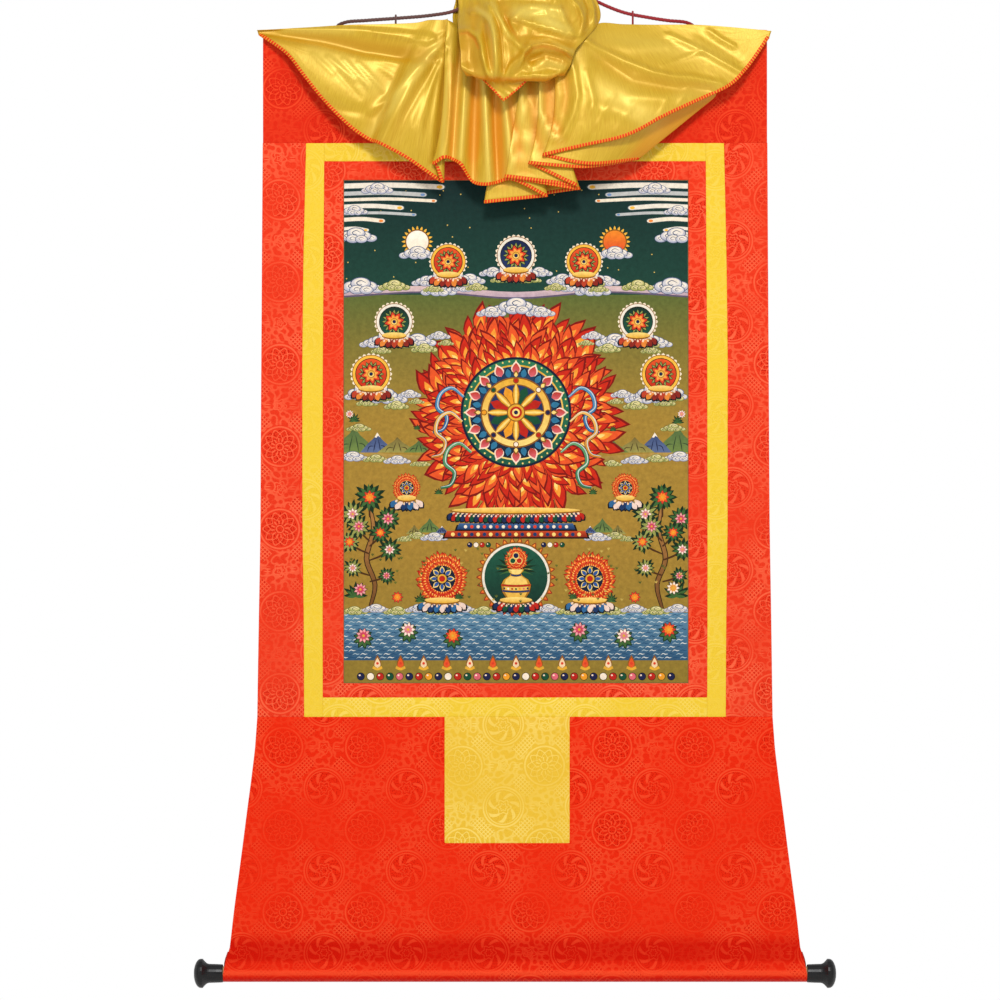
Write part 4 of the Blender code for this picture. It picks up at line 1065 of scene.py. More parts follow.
def creased(table, places):
    """Forward push (mm) of a table of ridges and hollows at an array of places (x, z)."""
    push = np.zeros(len(places))
    for line, left, right, height in table:
        line = np.array(line, float)
        steps = np.linalg.norm(np.diff(line, axis=0), axis=1)
        best, start = np.full(len(places), 1e9), 0.0
        side, along = np.zeros(len(places)), np.zeros(len(places))
        for a, b, step in zip(line, line[1:], steps):
            way = (b - a) / step
            t = np.clip((places - a) @ way, 0, step)
            off = places - a - t[:, None] * way
            far = np.hypot(off[:, 0], off[:, 1])
            near = far < best
            best = np.where(near, far, best)
            side = np.where(near, way[0] * off[:, 1] - way[1] * off[:, 0], side)
            along = np.where(near, (start + t) / steps.sum(), along)
            start += step
        width = np.where(side > 0, left, right)
        push += height * np.exp(-(best / width) ** 2) * (0.35 + 0.65 * np.sin(np.pi * (0.15 + 0.7 * along)))
    return push


def crown_height(x):
    """Height of the crown above a place along the top edge."""
    x = max(CROWN[0][0], min(CROWN[-1][0] - 0.01, x))
    points = [Vector((*row, 0)) for row in CROWN]
    i = max(n for n, row in enumerate(CROWN) if row[0] <= x)
    return spline(points, i, (x - CROWN[i][0]) / (CROWN[i + 1][0] - CROWN[i][0])).y


def bunch_point(level, share, pleat):
    """Point of the bunch on one level, at a share 0..1 of its width."""
    _, middle, half, low, over, follow, y, end_y, depth, _, lifted, tip, _ = level
    side = 2 * share - 1
    x = middle + half * (0.35 * math.sin(side * math.pi / 2) + 0.65 * side)
    y += (end_y - y) * abs(side) ** 3
    z = low * (1 - follow) + (crown_height(x) + over) * follow
    rise = CHIN_LIFT * max(0.0, side - 0.5) + 9 * smooth((-side - 0.55) / 0.45)
    z += lifted * (rise - CHIN_SLOPE * side)
    z -= tip * float(np.interp(x, [row[0] for row in LOBE_TIP], [row[1] for row in LOBE_TIP]))
    return Vector((x, y - depth * pleat, z))


def veil_grid():
    """Rows of points of the silk from its hem up into the bunch, None where there is no cloth, and how deep,
    orange and pale the silk is painted at each point, 0 to 1: painted shade, painted bounce light and painted
    sheen."""
    lines, cells, gather = fold_lines()
    first, last = (FINER * sum(cells[:line + 1]) for line in gather)
    rows, looks = [], []
    for n in range(SKIRT_ROWS + 1):
        down = (1 - n / SKIRT_ROWS) ** ROW_CROWDING
        row = skirt_row(lines, cells, down)
        places = np.array([(p.x, p.z) for p in row])
        push = creased(SKIRT_CREASES, places) * smooth(down / 0.06)
        row = [p - Vector((0, float(out), 0)) for p, out in zip(row, push)]
        rows.append(row)
        # painted shade in hollows and creases, deep gold on the wings and orange between the skirt's folds as
        # painted bounce light, and painted sheen where it is stretched flat
        column = np.arange(len(row))
        gathered = np.clip(np.minimum(column - first, last - column) / GATHER_BLEND, 0, 1)
        flat = 1 - 0.7 * np.clip(push / 3, 0, 1)
        shade = (0.45 + 0.35 * gathered) * hollows(row, push * 0.3) + flat * creased(SKIRT_SHADES, places)
        looks.append(np.stack([shade * (1 - gathered), shade * gathered, creased(SKIRT_SHEEN, places)], 1))
    columns = []
    for column in range(first, last + 1):
        n = (column - first) / FINER
        pleat = sum(size_ * math.sin(n * turn + start) for size_, turn, start in PLEAT_WAVES)
        share = (column - first) / (last - first)
        marks = [rows[-1][column]] + [bunch_point(level, share, pleat) for level in BUNCH_LEVELS]
        columns.append([spline(marks, i, step / level[12])
                        for i, level in enumerate(BUNCH_LEVELS) for step in range(1, level[12] + 1)])
    shown = [0] + [level[9] for level in BUNCH_LEVELS]
    counts = [level[12] for level in BUNCH_LEVELS]
    fronts = [shown[i] + (shown[i + 1] - shown[i]) * step / count
              for i, count in enumerate(counts) for step in range(1, count + 1)]
    for number, front in enumerate(fronts):
        line = [column[number] for column in columns]
        places = np.array([(p.x, p.z + (1 - HANG_SHARE) * max(0.0, HANG_FROM - p.z)) for p in line])
        push = front * (creased(LOBE_CREASES, places) + WRINKLE_DEPTH * creased(LOBE_WRINKLES, places))
        line = [p - Vector((0, float(out), 0)) for p, out in zip(line, push)]
        row, look = [None] * len(rows[0]), np.zeros((len(rows[0]), 3))
        row[first:last + 1] = line
        # painted shade in the bunch's hollows and creases, painted orange rims and painted sheen
        look[first:last + 1, 0] = 0.8 * hollows(line, push) + front * creased(LOBE_SHADES, places)
        look[first:last + 1, 1] = front * creased(LOBE_RIMS, places)
        look[first:last + 1, 2] = front * creased(LOBE_SHEEN, places)
        rows.append(row)
        looks.append(look)
    return rows, looks, first, last


def hollows(row, push):
    """How deep in a hollow each point of a row lies, 0 to 1: behind its neighbours, or in a crease."""
    y = np.array([point.y for point in row])
    reach = 4 * FINER
    around = np.convolve(np.pad(y, reach, mode="edge"), np.ones(2 * reach + 1) / (2 * reach + 1), "valid")
    return np.clip((y - around) / DEEP_HOLLOW, 0, 0.75) + np.clip(-push / DEEP_CREASE, 0, 0.35)


def edge_stitching(name, line, inward, surface, share=1.0):
    """Overlock stitches wrapped round an edge of the silk, slanting threads side by side; share
    narrows them."""
    half, thick = share * sizes("overlock_wide") / 2, sizes("silk_thick") / 2 + 0.35
    pitch, around = sizes("stitch_pitch"), 10
    lengths = lengths_along(line)
    count = round(lengths[-1] / (pitch / 4))
    at = np.linspace(0, lengths[-1], count + 1)
    axes = [np.interp(at, lengths, [point[k] for point in line]) for k in range(3)]
    sides = [np.interp(at, lengths, [way[k] for way in inward]) for k in range(3)]
    vertices, weave = [], []
    for n in range(count + 1):
        middle = Vector([axis[n] for axis in axes])
        ahead = Vector([axis[min(n + 1, count)] - axis[max(n - 1, 0)] for axis in axes]).normalized()
        way = Vector([axis[n] for axis in sides])
        way = (way - ahead * way.dot(ahead)).normalized()
        up = ahead.cross(way)
        middle += way * (half - 0.4)
        for k in range(around):
            angle = math.tau * k / around
            turn = math.tau * (at[n] / pitch) + angle * 0.5
            r = 1.0 + 0.16 * math.cos(turn)
            side = math.copysign(abs(math.sin(angle)) ** 0.6, math.sin(angle))
            wide = half * math.cos(angle) * (0.94 + 0.06 * r)
            vertices.append(middle + way * wide + up * (thick * r * side))
            weave.append((at[n], k * pitch / around * 0.5))
    return add_piece(name, vertices, tube_faces(count + 1, around), [surface], weave)


def veil_cloth():
    """The veil's silk with its stitched edge."""
    satin, thread = gold_satin(), stitch_thread()
    rows, looks, first, last = veil_grid()
    across = lengths_along(rows[0])
    points, weave, shade, index = [], [], [], {}
    down = 0.0
    middle = (first + last) // 2
    for r, row in enumerate(rows):
        if r:
            down += (row[middle] - rows[r - 1][middle]).length
        for c, point in enumerate(row):
            if point is not None:
                index[r, c] = len(points)
                points.append(point)
                weave.append((across[c], down))
                shade += [min(MOST_PAINTED_LIGHT, float(share)) for share in looks[r][c]] + [1.0]
    faces = []
    for r in range(len(rows) - 1):
        for c in range(len(rows[0]) - 1):
            corners = [(r, c), (r, c + 1), (r + 1, c + 1), (r + 1, c)]
            if all(corner in index for corner in corners):
                faces.append(tuple(index[corner] for corner in corners))
    piece = add_piece("veil_silk", points, faces, [satin], weave)
    # painted shade, painted bounce light and painted sheen, kept as the satin's colour attribute
    piece.data.color_attributes.new("PaintedLight", "FLOAT_COLOR", "POINT").data.foreach_set("color", shade)
    thicken(piece, sizes("silk_thick"))
    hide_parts("veil")
    hem, end = rows[0], rows[-1][first:last + 1]
    inward = [rows[1][c] - rows[0][c] for c in range(len(hem))]
    back = [rows[-2][c] - rows[-1][c] for c in range(first, last + 1)]
    trims = [edge_stitching("veil_hem_stitches", hem, inward, thread),
             edge_stitching("veil_end_stitches", end, back, thread, 0.6)]


# ------------------------------------------------------------------ the painting
# Its design is a general one: a wheel in a ring of flames over a lotus, roundels in an arch, a
# treasure vase, trees, clouds, hills, a lake and jewels. Places are mm from the painting's lower
# left corner.
PICTURE_WIDE, PICTURE_TALL = 448.4, 654.2
CANVAS_COLUMNS, CANVAS_ROWS = 50, 73     # cells of the canvas itself
STRAIGHT = 0.03                          # a place this near the line of its neighbours is left out
PRIMING = (1.05, 0.92, 0.77)             # warms every colour, as the yellowed priming does
SKY = ("122C30", "1C463E", "5A6C38", "A0863A")
EARTH = "A3863A"
CLOUD = ("4A5E86", "A9B4D6", "DDE2EE", "F4F3EC")
MOSS = ("3F5430", "93A05A", "C6C98A", "E9E6B8")
BLUE_HILL = ("33477E", "5C72A4", "1C2650")
GREEN_HILL = ("4C6A45", "6E8A4C", "2A4030")
DUSK_HILL = ("6E6238", "9A9A58", "4A4126")
FLAME = ("7C1410", "C62A18", "E2582A", "F2A23C", "F8DE86")
GOLD, DEEP_GOLD, PALE_GOLD, SUN = "E2B13C", "8A5A1E", "F6E08A", "F0C04A"
LEAF, DEEP_LEAF = "3E6A3A", "16301F"
INK, SOOT, HALO, BLUE, GREEN, CORAL = "14203A", "14100C", "E9ECEA", "1C3A70", "1E5A4A", "D8432A"
NAVY, PEARL, RUBY, PINE, SCARLET = "1C2250", "F2EEE6", "B8261C", "15503A", "C22A1C"
JEWELS = (NAVY, PEARL, RUBY, PINE, "E8A02C", "D8697E")
BLOSSOMS = ((CORAL, "F0902E"), ("F4EEE8", "D8889A"), ("E9A8B4", "C8486A"))


class Picture:
    """Flat coloured shapes, each laid over the ones before it."""

    def __init__(self):
        self.shapes = []
        self.chance = random.Random(5)

    def shape(self, points, tone, fade=None):
        """Polygon in one colour, or fading to another from its foot to its head."""
        area = sum(a[0] * b[1] - b[0] * a[1] for a, b in zip(points, points[1:] + points[:1]))
        heights = [p[1] for p in points]
        self.shapes.append((points if area > 0 else points[::-1], linear(tone), fade and linear(fade),
                            min(heights), max(heights)))

    def block(self, left, low, right, high, tone, fade=None):
        """Upright rectangle."""
        self.shape([(left, low), (right, low), (right, high), (left, high)], tone, fade)

    def disc(self, x, y, wide, tone, fade=None, tall=None, sides=None):
        """Round spot, or an oval one where its height is given."""
        tall = tall or wide
        sides = sides or int(min(64, max(10, 2.2 * math.sqrt(wide * tall) ** 0.8 + 8)))
        turns = [math.tau * n / sides for n in range(sides)]
        self.shape([(x + wide * math.cos(a), y + tall * math.sin(a)) for a in turns], tone, fade)

    def discs(self, x, y, radius, layers, sides=None):
        """Round spots over each other, each a share of the radius."""
        for share, *tones in layers:
            self.disc(x, y, radius * share, *tones, sides=sides)

    def petal(self, x, y, angle, length, wide, tone, bend=0.0, fade=None, steps=5, belly=0.42):
        """Leaf or tongue that grows from a place; bend curls its tip sideways."""
        ways = []
        for side in (1, -1):
            edge = []
            for n in range(steps + 1):
                t = n / steps
                half = side * wide * math.sin(math.pi * t ** (math.log(0.5) / math.log(belly))) ** 0.9
                off = half + bend * t * t
                edge.append((x + length * t * math.cos(angle) - off * math.sin(angle),
                             y + length * t * math.sin(angle) + off * math.cos(angle)))
            ways.append(edge)
        self.shape(ways[1] + ways[0][-2:0:-1], tone, fade)

    def line(self, points, width, tone, fade=None, taper=0.0):
        """Brush line through points; taper thins both its ends."""
        points = [Vector((x, y, 0)) for x, y in points]
        fine = [spline(points, i, n / 5) for i in range(len(points) - 1) for n in range(5)] + [points[-1]]
        left, right = [], []
        for n, point in enumerate(fine):
            ahead = (fine[min(n + 1, len(fine) - 1)] - fine[max(n - 1, 0)]).normalized()
            share = n / (len(fine) - 1)
            half = width / 2 * (1 - taper * abs(2 * share - 1) ** 2)
            left.append((point.x - ahead.y * half, point.y + ahead.x * half))
            right.append((point.x + ahead.y * half, point.y - ahead.x * half))
        self.shape(left + right[::-1], tone, fade)

    def wreath(self, x, y, radius, count, length, wide, tone, fade=None, start=0.0, jitter=0.0):
        """Petals side by side on a circle, pointing outward."""
        for n in range(count):
            angle = start + math.tau * n / count
            # a third draw goes unused: what comes later in the picture depends on their number
            grow, turn, _ = [self.chance.random() - 0.5 for _ in range(3)]
            self.petal(x + radius * math.cos(angle), y + radius * math.sin(angle),
                       angle + jitter * 0.5 * turn, length * (1 + jitter * grow), wide, tone, fade=fade)

    def rosette(self, x, y, radius, layers):
        """Wreaths over each other, with their places and sizes as shares of the radius."""
        for at, count, length, wide, *look in layers:
            self.wreath(x, y, radius * at, count, radius * length, radius * wide, *look)

    def cloud(self, x, y, reach, tones=CLOUD, flat=0.62):
        """Heap of curled puffs with a dark rim, pale body and a scroll line in each."""
        for dx, dy, share in ((-1.0, 0.0, 0.42), (1.0, 0.02, 0.40), (-0.5, 0.16, 0.55), (0.52, 0.18, 0.5),
                              (0.02, 0.34, 0.62), (-0.2, -0.02, 0.46), (0.36, -0.04, 0.42)):
            r = share * reach
            cx, cy = x + dx * reach, y + dy * reach
            self.disc(cx, cy, r, tones[0], tall=flat * r)
            self.disc(cx, cy, r * 0.9, tones[1], tones[2], flat * r * 0.88)
            self.disc(cx + 0.05 * r, cy + 0.1 * r, r * 0.66, tones[2], tones[3], flat * r * 0.6)
            curl = [(cx + r * 0.5 * k * math.cos(a), cy + flat * r * 0.5 * k * math.sin(a))
                    for k, a in ((1.0, 0.3), (0.95, 1.6), (0.8, 2.9), (0.55, 4.2), (0.3, 5.6))]
            self.line(curl, max(0.8, 0.09 * r), tones[0], taper=0.6)

    def flames(self, x, y, inner, outer, rings, tall=1.06):
        """Ring of flame tongues, deep red outside and gold inside."""
        self.disc(x, y, outer * 0.86, FLAME[1], FLAME[2], outer * 0.86 * tall)
        for ring in range(rings):
            share = ring / (rings - 1)
            radius = outer * 0.80 + (inner - outer * 0.80) * share
            long = (outer - inner) * (0.42 - 0.10 * share)
            count = int(math.tau * radius / (long * 0.46))
            for n in range(count):
                angle = math.tau * (n + 0.5 * (ring % 2)) / count
                tilt = (self.chance.random() - 0.5) * 0.5 + 0.35 * math.cos(angle)
                foot = (x + radius * math.cos(angle), y + tall * radius * math.sin(angle))
                reach = long * (0.8 + 0.5 * self.chance.random())
                bend = reach * 0.3 * (1 if self.chance.random() < 0.5 else -1)
                for tone, grow in ((FLAME[0], 1.0), (FLAME[1 + (n + ring) % 2], 0.86), (FLAME[3], 0.52),
                                   (FLAME[4], 0.28)):
                    self.petal(*foot, angle + tilt, reach * grow, reach * 0.24 * grow, tone, bend * grow,
                               steps=4)

    def lotus(self, x, y, wide, tones=("1C2E5C", RUBY, PINE)):
        """Seat of overlapping lotus petals, pale at their tips, with a cushion of gold on top."""
        count = int(wide / 6.5)
        for row, (drop, full) in enumerate(((0.0, 1.0), (3.5, 0.82))):
            for n in range(count + 1):
                share = 2 * (n + 0.5 * row) / count - 1
                if abs(share) > 1.02:
                    continue
                foot = (x + share * wide * 0.43, y + 3 - drop)
                angle = -math.pi / 2 + share * 0.75
                for tone, grow in (("0E1420", 1.0), (tones[(n + row) % len(tones)], 0.84), ("F0D9C8", 0.3)):
                    self.petal(*foot, angle, 16 * full * grow, 5.0 * full * grow, tone, belly=0.6)
        self.disc(x, y + 4, wide * 0.47, DEEP_GOLD, tall=4.6)
        self.disc(x, y + 5, wide * 0.455, GOLD, PALE_GOLD, 3.7)

    def wheel(self, x, y, radius):
        """Golden wheel with eight spokes that end in jewels."""
        self.discs(x, y, radius, ((1, DEEP_GOLD), (0.96, PALE_GOLD, GOLD), (0.80, DEEP_GOLD),
                                  (0.77, "18244E", "24386E")), sides=64)
        for n in range(8):
            angle = math.tau * (n + 0.5) / 8
            self.petal(x, y, angle, radius * 0.78, radius * 0.13, JEWELS[2 + n % 3], belly=0.7)
        for n in range(8):
            angle = math.tau * n / 8
            for grow, tone in ((1.0, DEEP_GOLD), (0.72, GOLD), (0.3, PALE_GOLD)):
                self.petal(x, y, angle, radius * 0.84, radius * 0.11 * grow, tone, belly=0.62)
            jewel = (x + radius * 0.9 * math.cos(angle), y + radius * 0.9 * math.sin(angle))
            self.discs(*jewel, radius, ((0.085, DEEP_GOLD), (0.06, JEWELS[n % 5])))
            tip = (x + radius * math.cos(angle), y + radius * math.sin(angle))
            for grow, tone in ((1.0, DEEP_GOLD), (0.7, PALE_GOLD)):
                self.petal(*tip, angle, radius * 0.2 * grow, radius * 0.07 * grow, tone)
        self.discs(x, y, radius, ((0.26, DEEP_GOLD), (0.23, GOLD), (0.17, RUBY), (0.11, PALE_GOLD),
                                  (0.06, NAVY)))

    def flower(self, x, y, radius, tone, fade, petals=9):
        """Open blossom, seen from the front."""
        self.rosette(x, y, radius, ((0.15, petals, 1, 0.28, "5A1C2A"), (0.15, petals, 0.9, 0.22, tone),
                                    (0.1, petals, 0.6, 0.18, fade, None, 0.3)))
        self.disc(x, y, radius * 0.2, GOLD)

    def leaves(self, x, y, reach):
        """Tuft of seven pointed leaves."""
        for n in range(7):
            share = n / 3 - 1
            long = reach * (1 - 0.35 * abs(share)) * (0.85 + 0.3 * self.chance.random())
            for grow, tone in ((1.0, DEEP_LEAF), (0.72, LEAF)):
                self.petal(x, y, math.pi / 2 - share * 1.15, long * grow, reach * 0.13 * grow, tone,
                           -share * reach * 0.2)

    def roundel(self, x, y, radius, field, rim, inner):
        """Halo disc on a lotus and cloud, holding a rosette with a jewel."""
        self.cloud(x, y - radius * 1.02, radius * 0.9)
        self.cloud(x + radius * 0.5, y - radius * 1.35, radius * 0.55, MOSS)
        self.rosette(x, y, radius, ((0.98, 26, 0.16, 0.1, "F1EBDD"),))
        self.disc(x, y, radius * 1.04, DEEP_GOLD)
        self.discs(x, y, radius, ((1, rim), (0.86, "20150E"), (0.82, field, inner)), sides=40)
        self.rosette(x, y, radius, (
            (0.26, 16, 0.46, 0.11, DEEP_LEAF), (0.26, 16, 0.42, 0.07, MOSS[1]),
            (0.12, 8, 0.48, 0.17, "3A0E10", None, 0.2), (0.12, 8, 0.43, 0.125, "D9482C", None, 0.2),
            (0.1, 8, 0.3, 0.09, "F0A94A", None, 0.2)))
        self.discs(x, y, radius, ((0.2, DEEP_GOLD), (0.17, PALE_GOLD, GOLD), (0.1, NAVY)))
        self.lotus(x, y - radius * 0.98, radius * 1.5, ("B8432C", "E08A3C", "8A2A20"))

    def vase(self, x, y, tall):
        """Treasure vase on a lotus, with a flaming jewel and leaves at its mouth."""
        for side in (-1, 1):
            for n in range(5):
                bend = side * tall * (0.25 + 0.1 * n)
                foot = (x + side * tall * 0.08, y + tall * 0.9)
                for grow, tone in ((1.0, DEEP_LEAF), (0.7, MOSS[1] if n % 2 else LEAF)):
                    self.petal(*foot, math.pi / 2 - side * 0.24 * n, tall * (0.75 - 0.07 * n) * grow,
                               tall * 0.06 * grow, tone, -bend * 0.5)
        self.flames(x, y + tall * 1.32, tall * 0.12, tall * 0.34, 3)
        for dx, dy, tone in ((0, 0.13, NAVY), (-0.1, -0.03, PINE), (0.1, -0.03, RUBY)):
            self.discs(x + dx * tall, y + (1.3 + dy) * tall, tall, ((0.1, PALE_GOLD), (0.08, tone)))
        body = [(0.0, 0.16), (0.05, 0.2), (0.12, 0.3), (0.3, 0.42), (0.52, 0.46), (0.68, 0.38), (0.8, 0.2),
                (0.88, 0.15), (0.95, 0.22), (1.0, 0.24)]
        for grow, *tones in ((1.05, "2A1608"), (1.0, DEEP_GOLD, GOLD), (0.82, GOLD, PALE_GOLD)):
            outline = [(x + half * tall * grow, y + up * tall) for up, half in body]
            outline += [(x - half * tall * grow, y + up * tall) for up, half in reversed(body)]
            self.shape(outline, *tones)
        for up, half, tone in ((0.52, 0.45, RUBY), (0.34, 0.42, BLUE), (0.84, 0.16, BLUE)):
            band = [(x + s * half * tall, y + (up - 0.03 * (1 - s * s)) * tall)
                    for s in (-1, -0.5, 0, 0.5, 1)]
            self.line(band, tall * 0.07, DEEP_GOLD)
            self.line(band, tall * 0.045, tone)
        for n in range(7):
            s = (n - 3) / 3.5
            self.disc(x + s * 0.42 * tall, y + (0.425 - 0.03 * (1 - s * s)) * tall, tall * 0.032,
                      JEWELS[n % 6])
        self.lotus(x, y - tall * 0.06, tall * 1.1)

    def hill(self, x, y, wide, tall, tones):
        """Pointed hill with ridges down its side, and snow on a blue one."""
        outline = ((-1, 0), (-0.55, 0.45), (-0.2, 0.72), (0, 1), (0.26, 0.66), (0.6, 0.4), (1, 0))
        self.shape([(x + wide * a, y + tall * b) for a, b in outline], tones[1], tones[0])
        for s in (-0.5, -0.18, 0.16, 0.46):
            ridge = [(x + s * wide * 0.4, y + tall * (0.82 - abs(s))), (x + s * wide * 0.9, y + tall * 0.3),
                     (x + s * wide * 1.2, y + 1)]
            self.line(ridge, 1.3, tones[2], taper=0.8)
        if tones == BLUE_HILL:
            cap = ((-0.16, 0.76), (0, 1), (0.18, 0.76), (0.04, 0.84), (-0.05, 0.74))
            self.shape([(x + wide * a, y + tall * b) for a, b in cap], "F2F0EA")

    def water(self, left, right, low, high):
        """Stretch of lake with rows of curled waves."""
        self.block(left, low, right, high, "2C5680", "5C8CB4")
        rows, count = int((high - low) / 4.6), int((right - left) / 10)
        for row in range(rows):
            y = low + 2.3 + row * (high - low - 3) / (rows - 1) * 0.94
            for n in range(count):
                x = left + (n + 0.5 * (row % 2) + 0.25) * (right - left) / count
                if x + 6 > right:
                    continue
                self.line([(x - 4.6, y), (x - 1.6, y + 1.9), (x + 1.6, y + 0.9), (x + 4.6, y + 1.6)], 1.1,
                          ("DCE8F0", "1F4A78", "A9C6DC")[(n + row) % 3], taper=0.8)

    def tree(self, x, y, way):
        """Flowering tree with a bent trunk, leaves in tufts and blossoms."""
        trunk = [(x, y), (x + way * 7, y + 32), (x - way * 4, y + 66), (x + way * 5, y + 104), (x, y + 138)]
        self.line(trunk, 7.5, "2A1A10", taper=0.4)
        self.line(trunk, 5.0, "6E4A28", "A87C48", taper=0.5)
        crowns = ((0, 146, 17), (-22, 124, 15), (24, 118, 15), (-26, 88, 13), (26, 78, 13), (-14, 108, 14),
                  (14, 100, 13), (-22, 54, 11), (22, 44, 10))
        for dx, dy, _ in crowns:
            branch = [(x, y + dy * 0.82), (x + dx * 0.6, y + dy * 0.9), (x + dx, y + dy)]
            self.line(branch, 2.6, "4A3018", taper=0.3)
        for n, (dx, dy, reach) in enumerate(crowns):
            self.rosette(x + dx, y + dy, reach, (
                (0.2, 13, 0.95, 0.2, DEEP_LEAF, None, 0.0, 0.4),
                (0.15, 11, 0.8, 0.14, (LEAF, MOSS[1])[n % 2], None, 0.0, 0.4)))
            self.flower(x + dx, y + dy, reach * 0.5, *BLOSSOMS[n % 3], 8)

    def jewel_row(self, x, y, count, radius, pitch):
        """Jewels side by side, each with a light on it."""
        for n in range(count):
            cx = x + (n - (count - 1) / 2) * pitch
            self.discs(cx, y, radius, ((1, SOOT), (0.86, JEWELS[(0, 1, 2, 3, 5, 0, 2, 4)[n % 8]])))
            self.disc(cx - radius * 0.28, y + radius * 0.3, radius * 0.26, "F4E6DA", tall=radius * 0.22)

    def scarf(self, x, y, side, tone, shade):
        """Silk scarf that floats beside the wheel."""
        path = [(x + side * dx, y + dy) for dx, dy in ((0, 0), (16, 12), (30, 4), (34, -14), (22, -26),
                                                       (27, -42), (40, -46))]
        self.line(path, 6.4, INK, taper=0.5)
        self.line(path, 4.8, tone, shade, taper=0.5)
        self.line([(px + 0.8, py + 1.1) for px, py in path], 1.2, "CFE0EE", taper=0.6)

    def both(self, motif, x, *rest):
        """The same motif at a place and at its mirror place."""
        for side in (0, 1):
            motif(across(x, side), *rest)


def across(x, side):
    """A place from the picture's left edge, or as far from its right edge where side is 1."""
    return PICTURE_WIDE - x if side else x


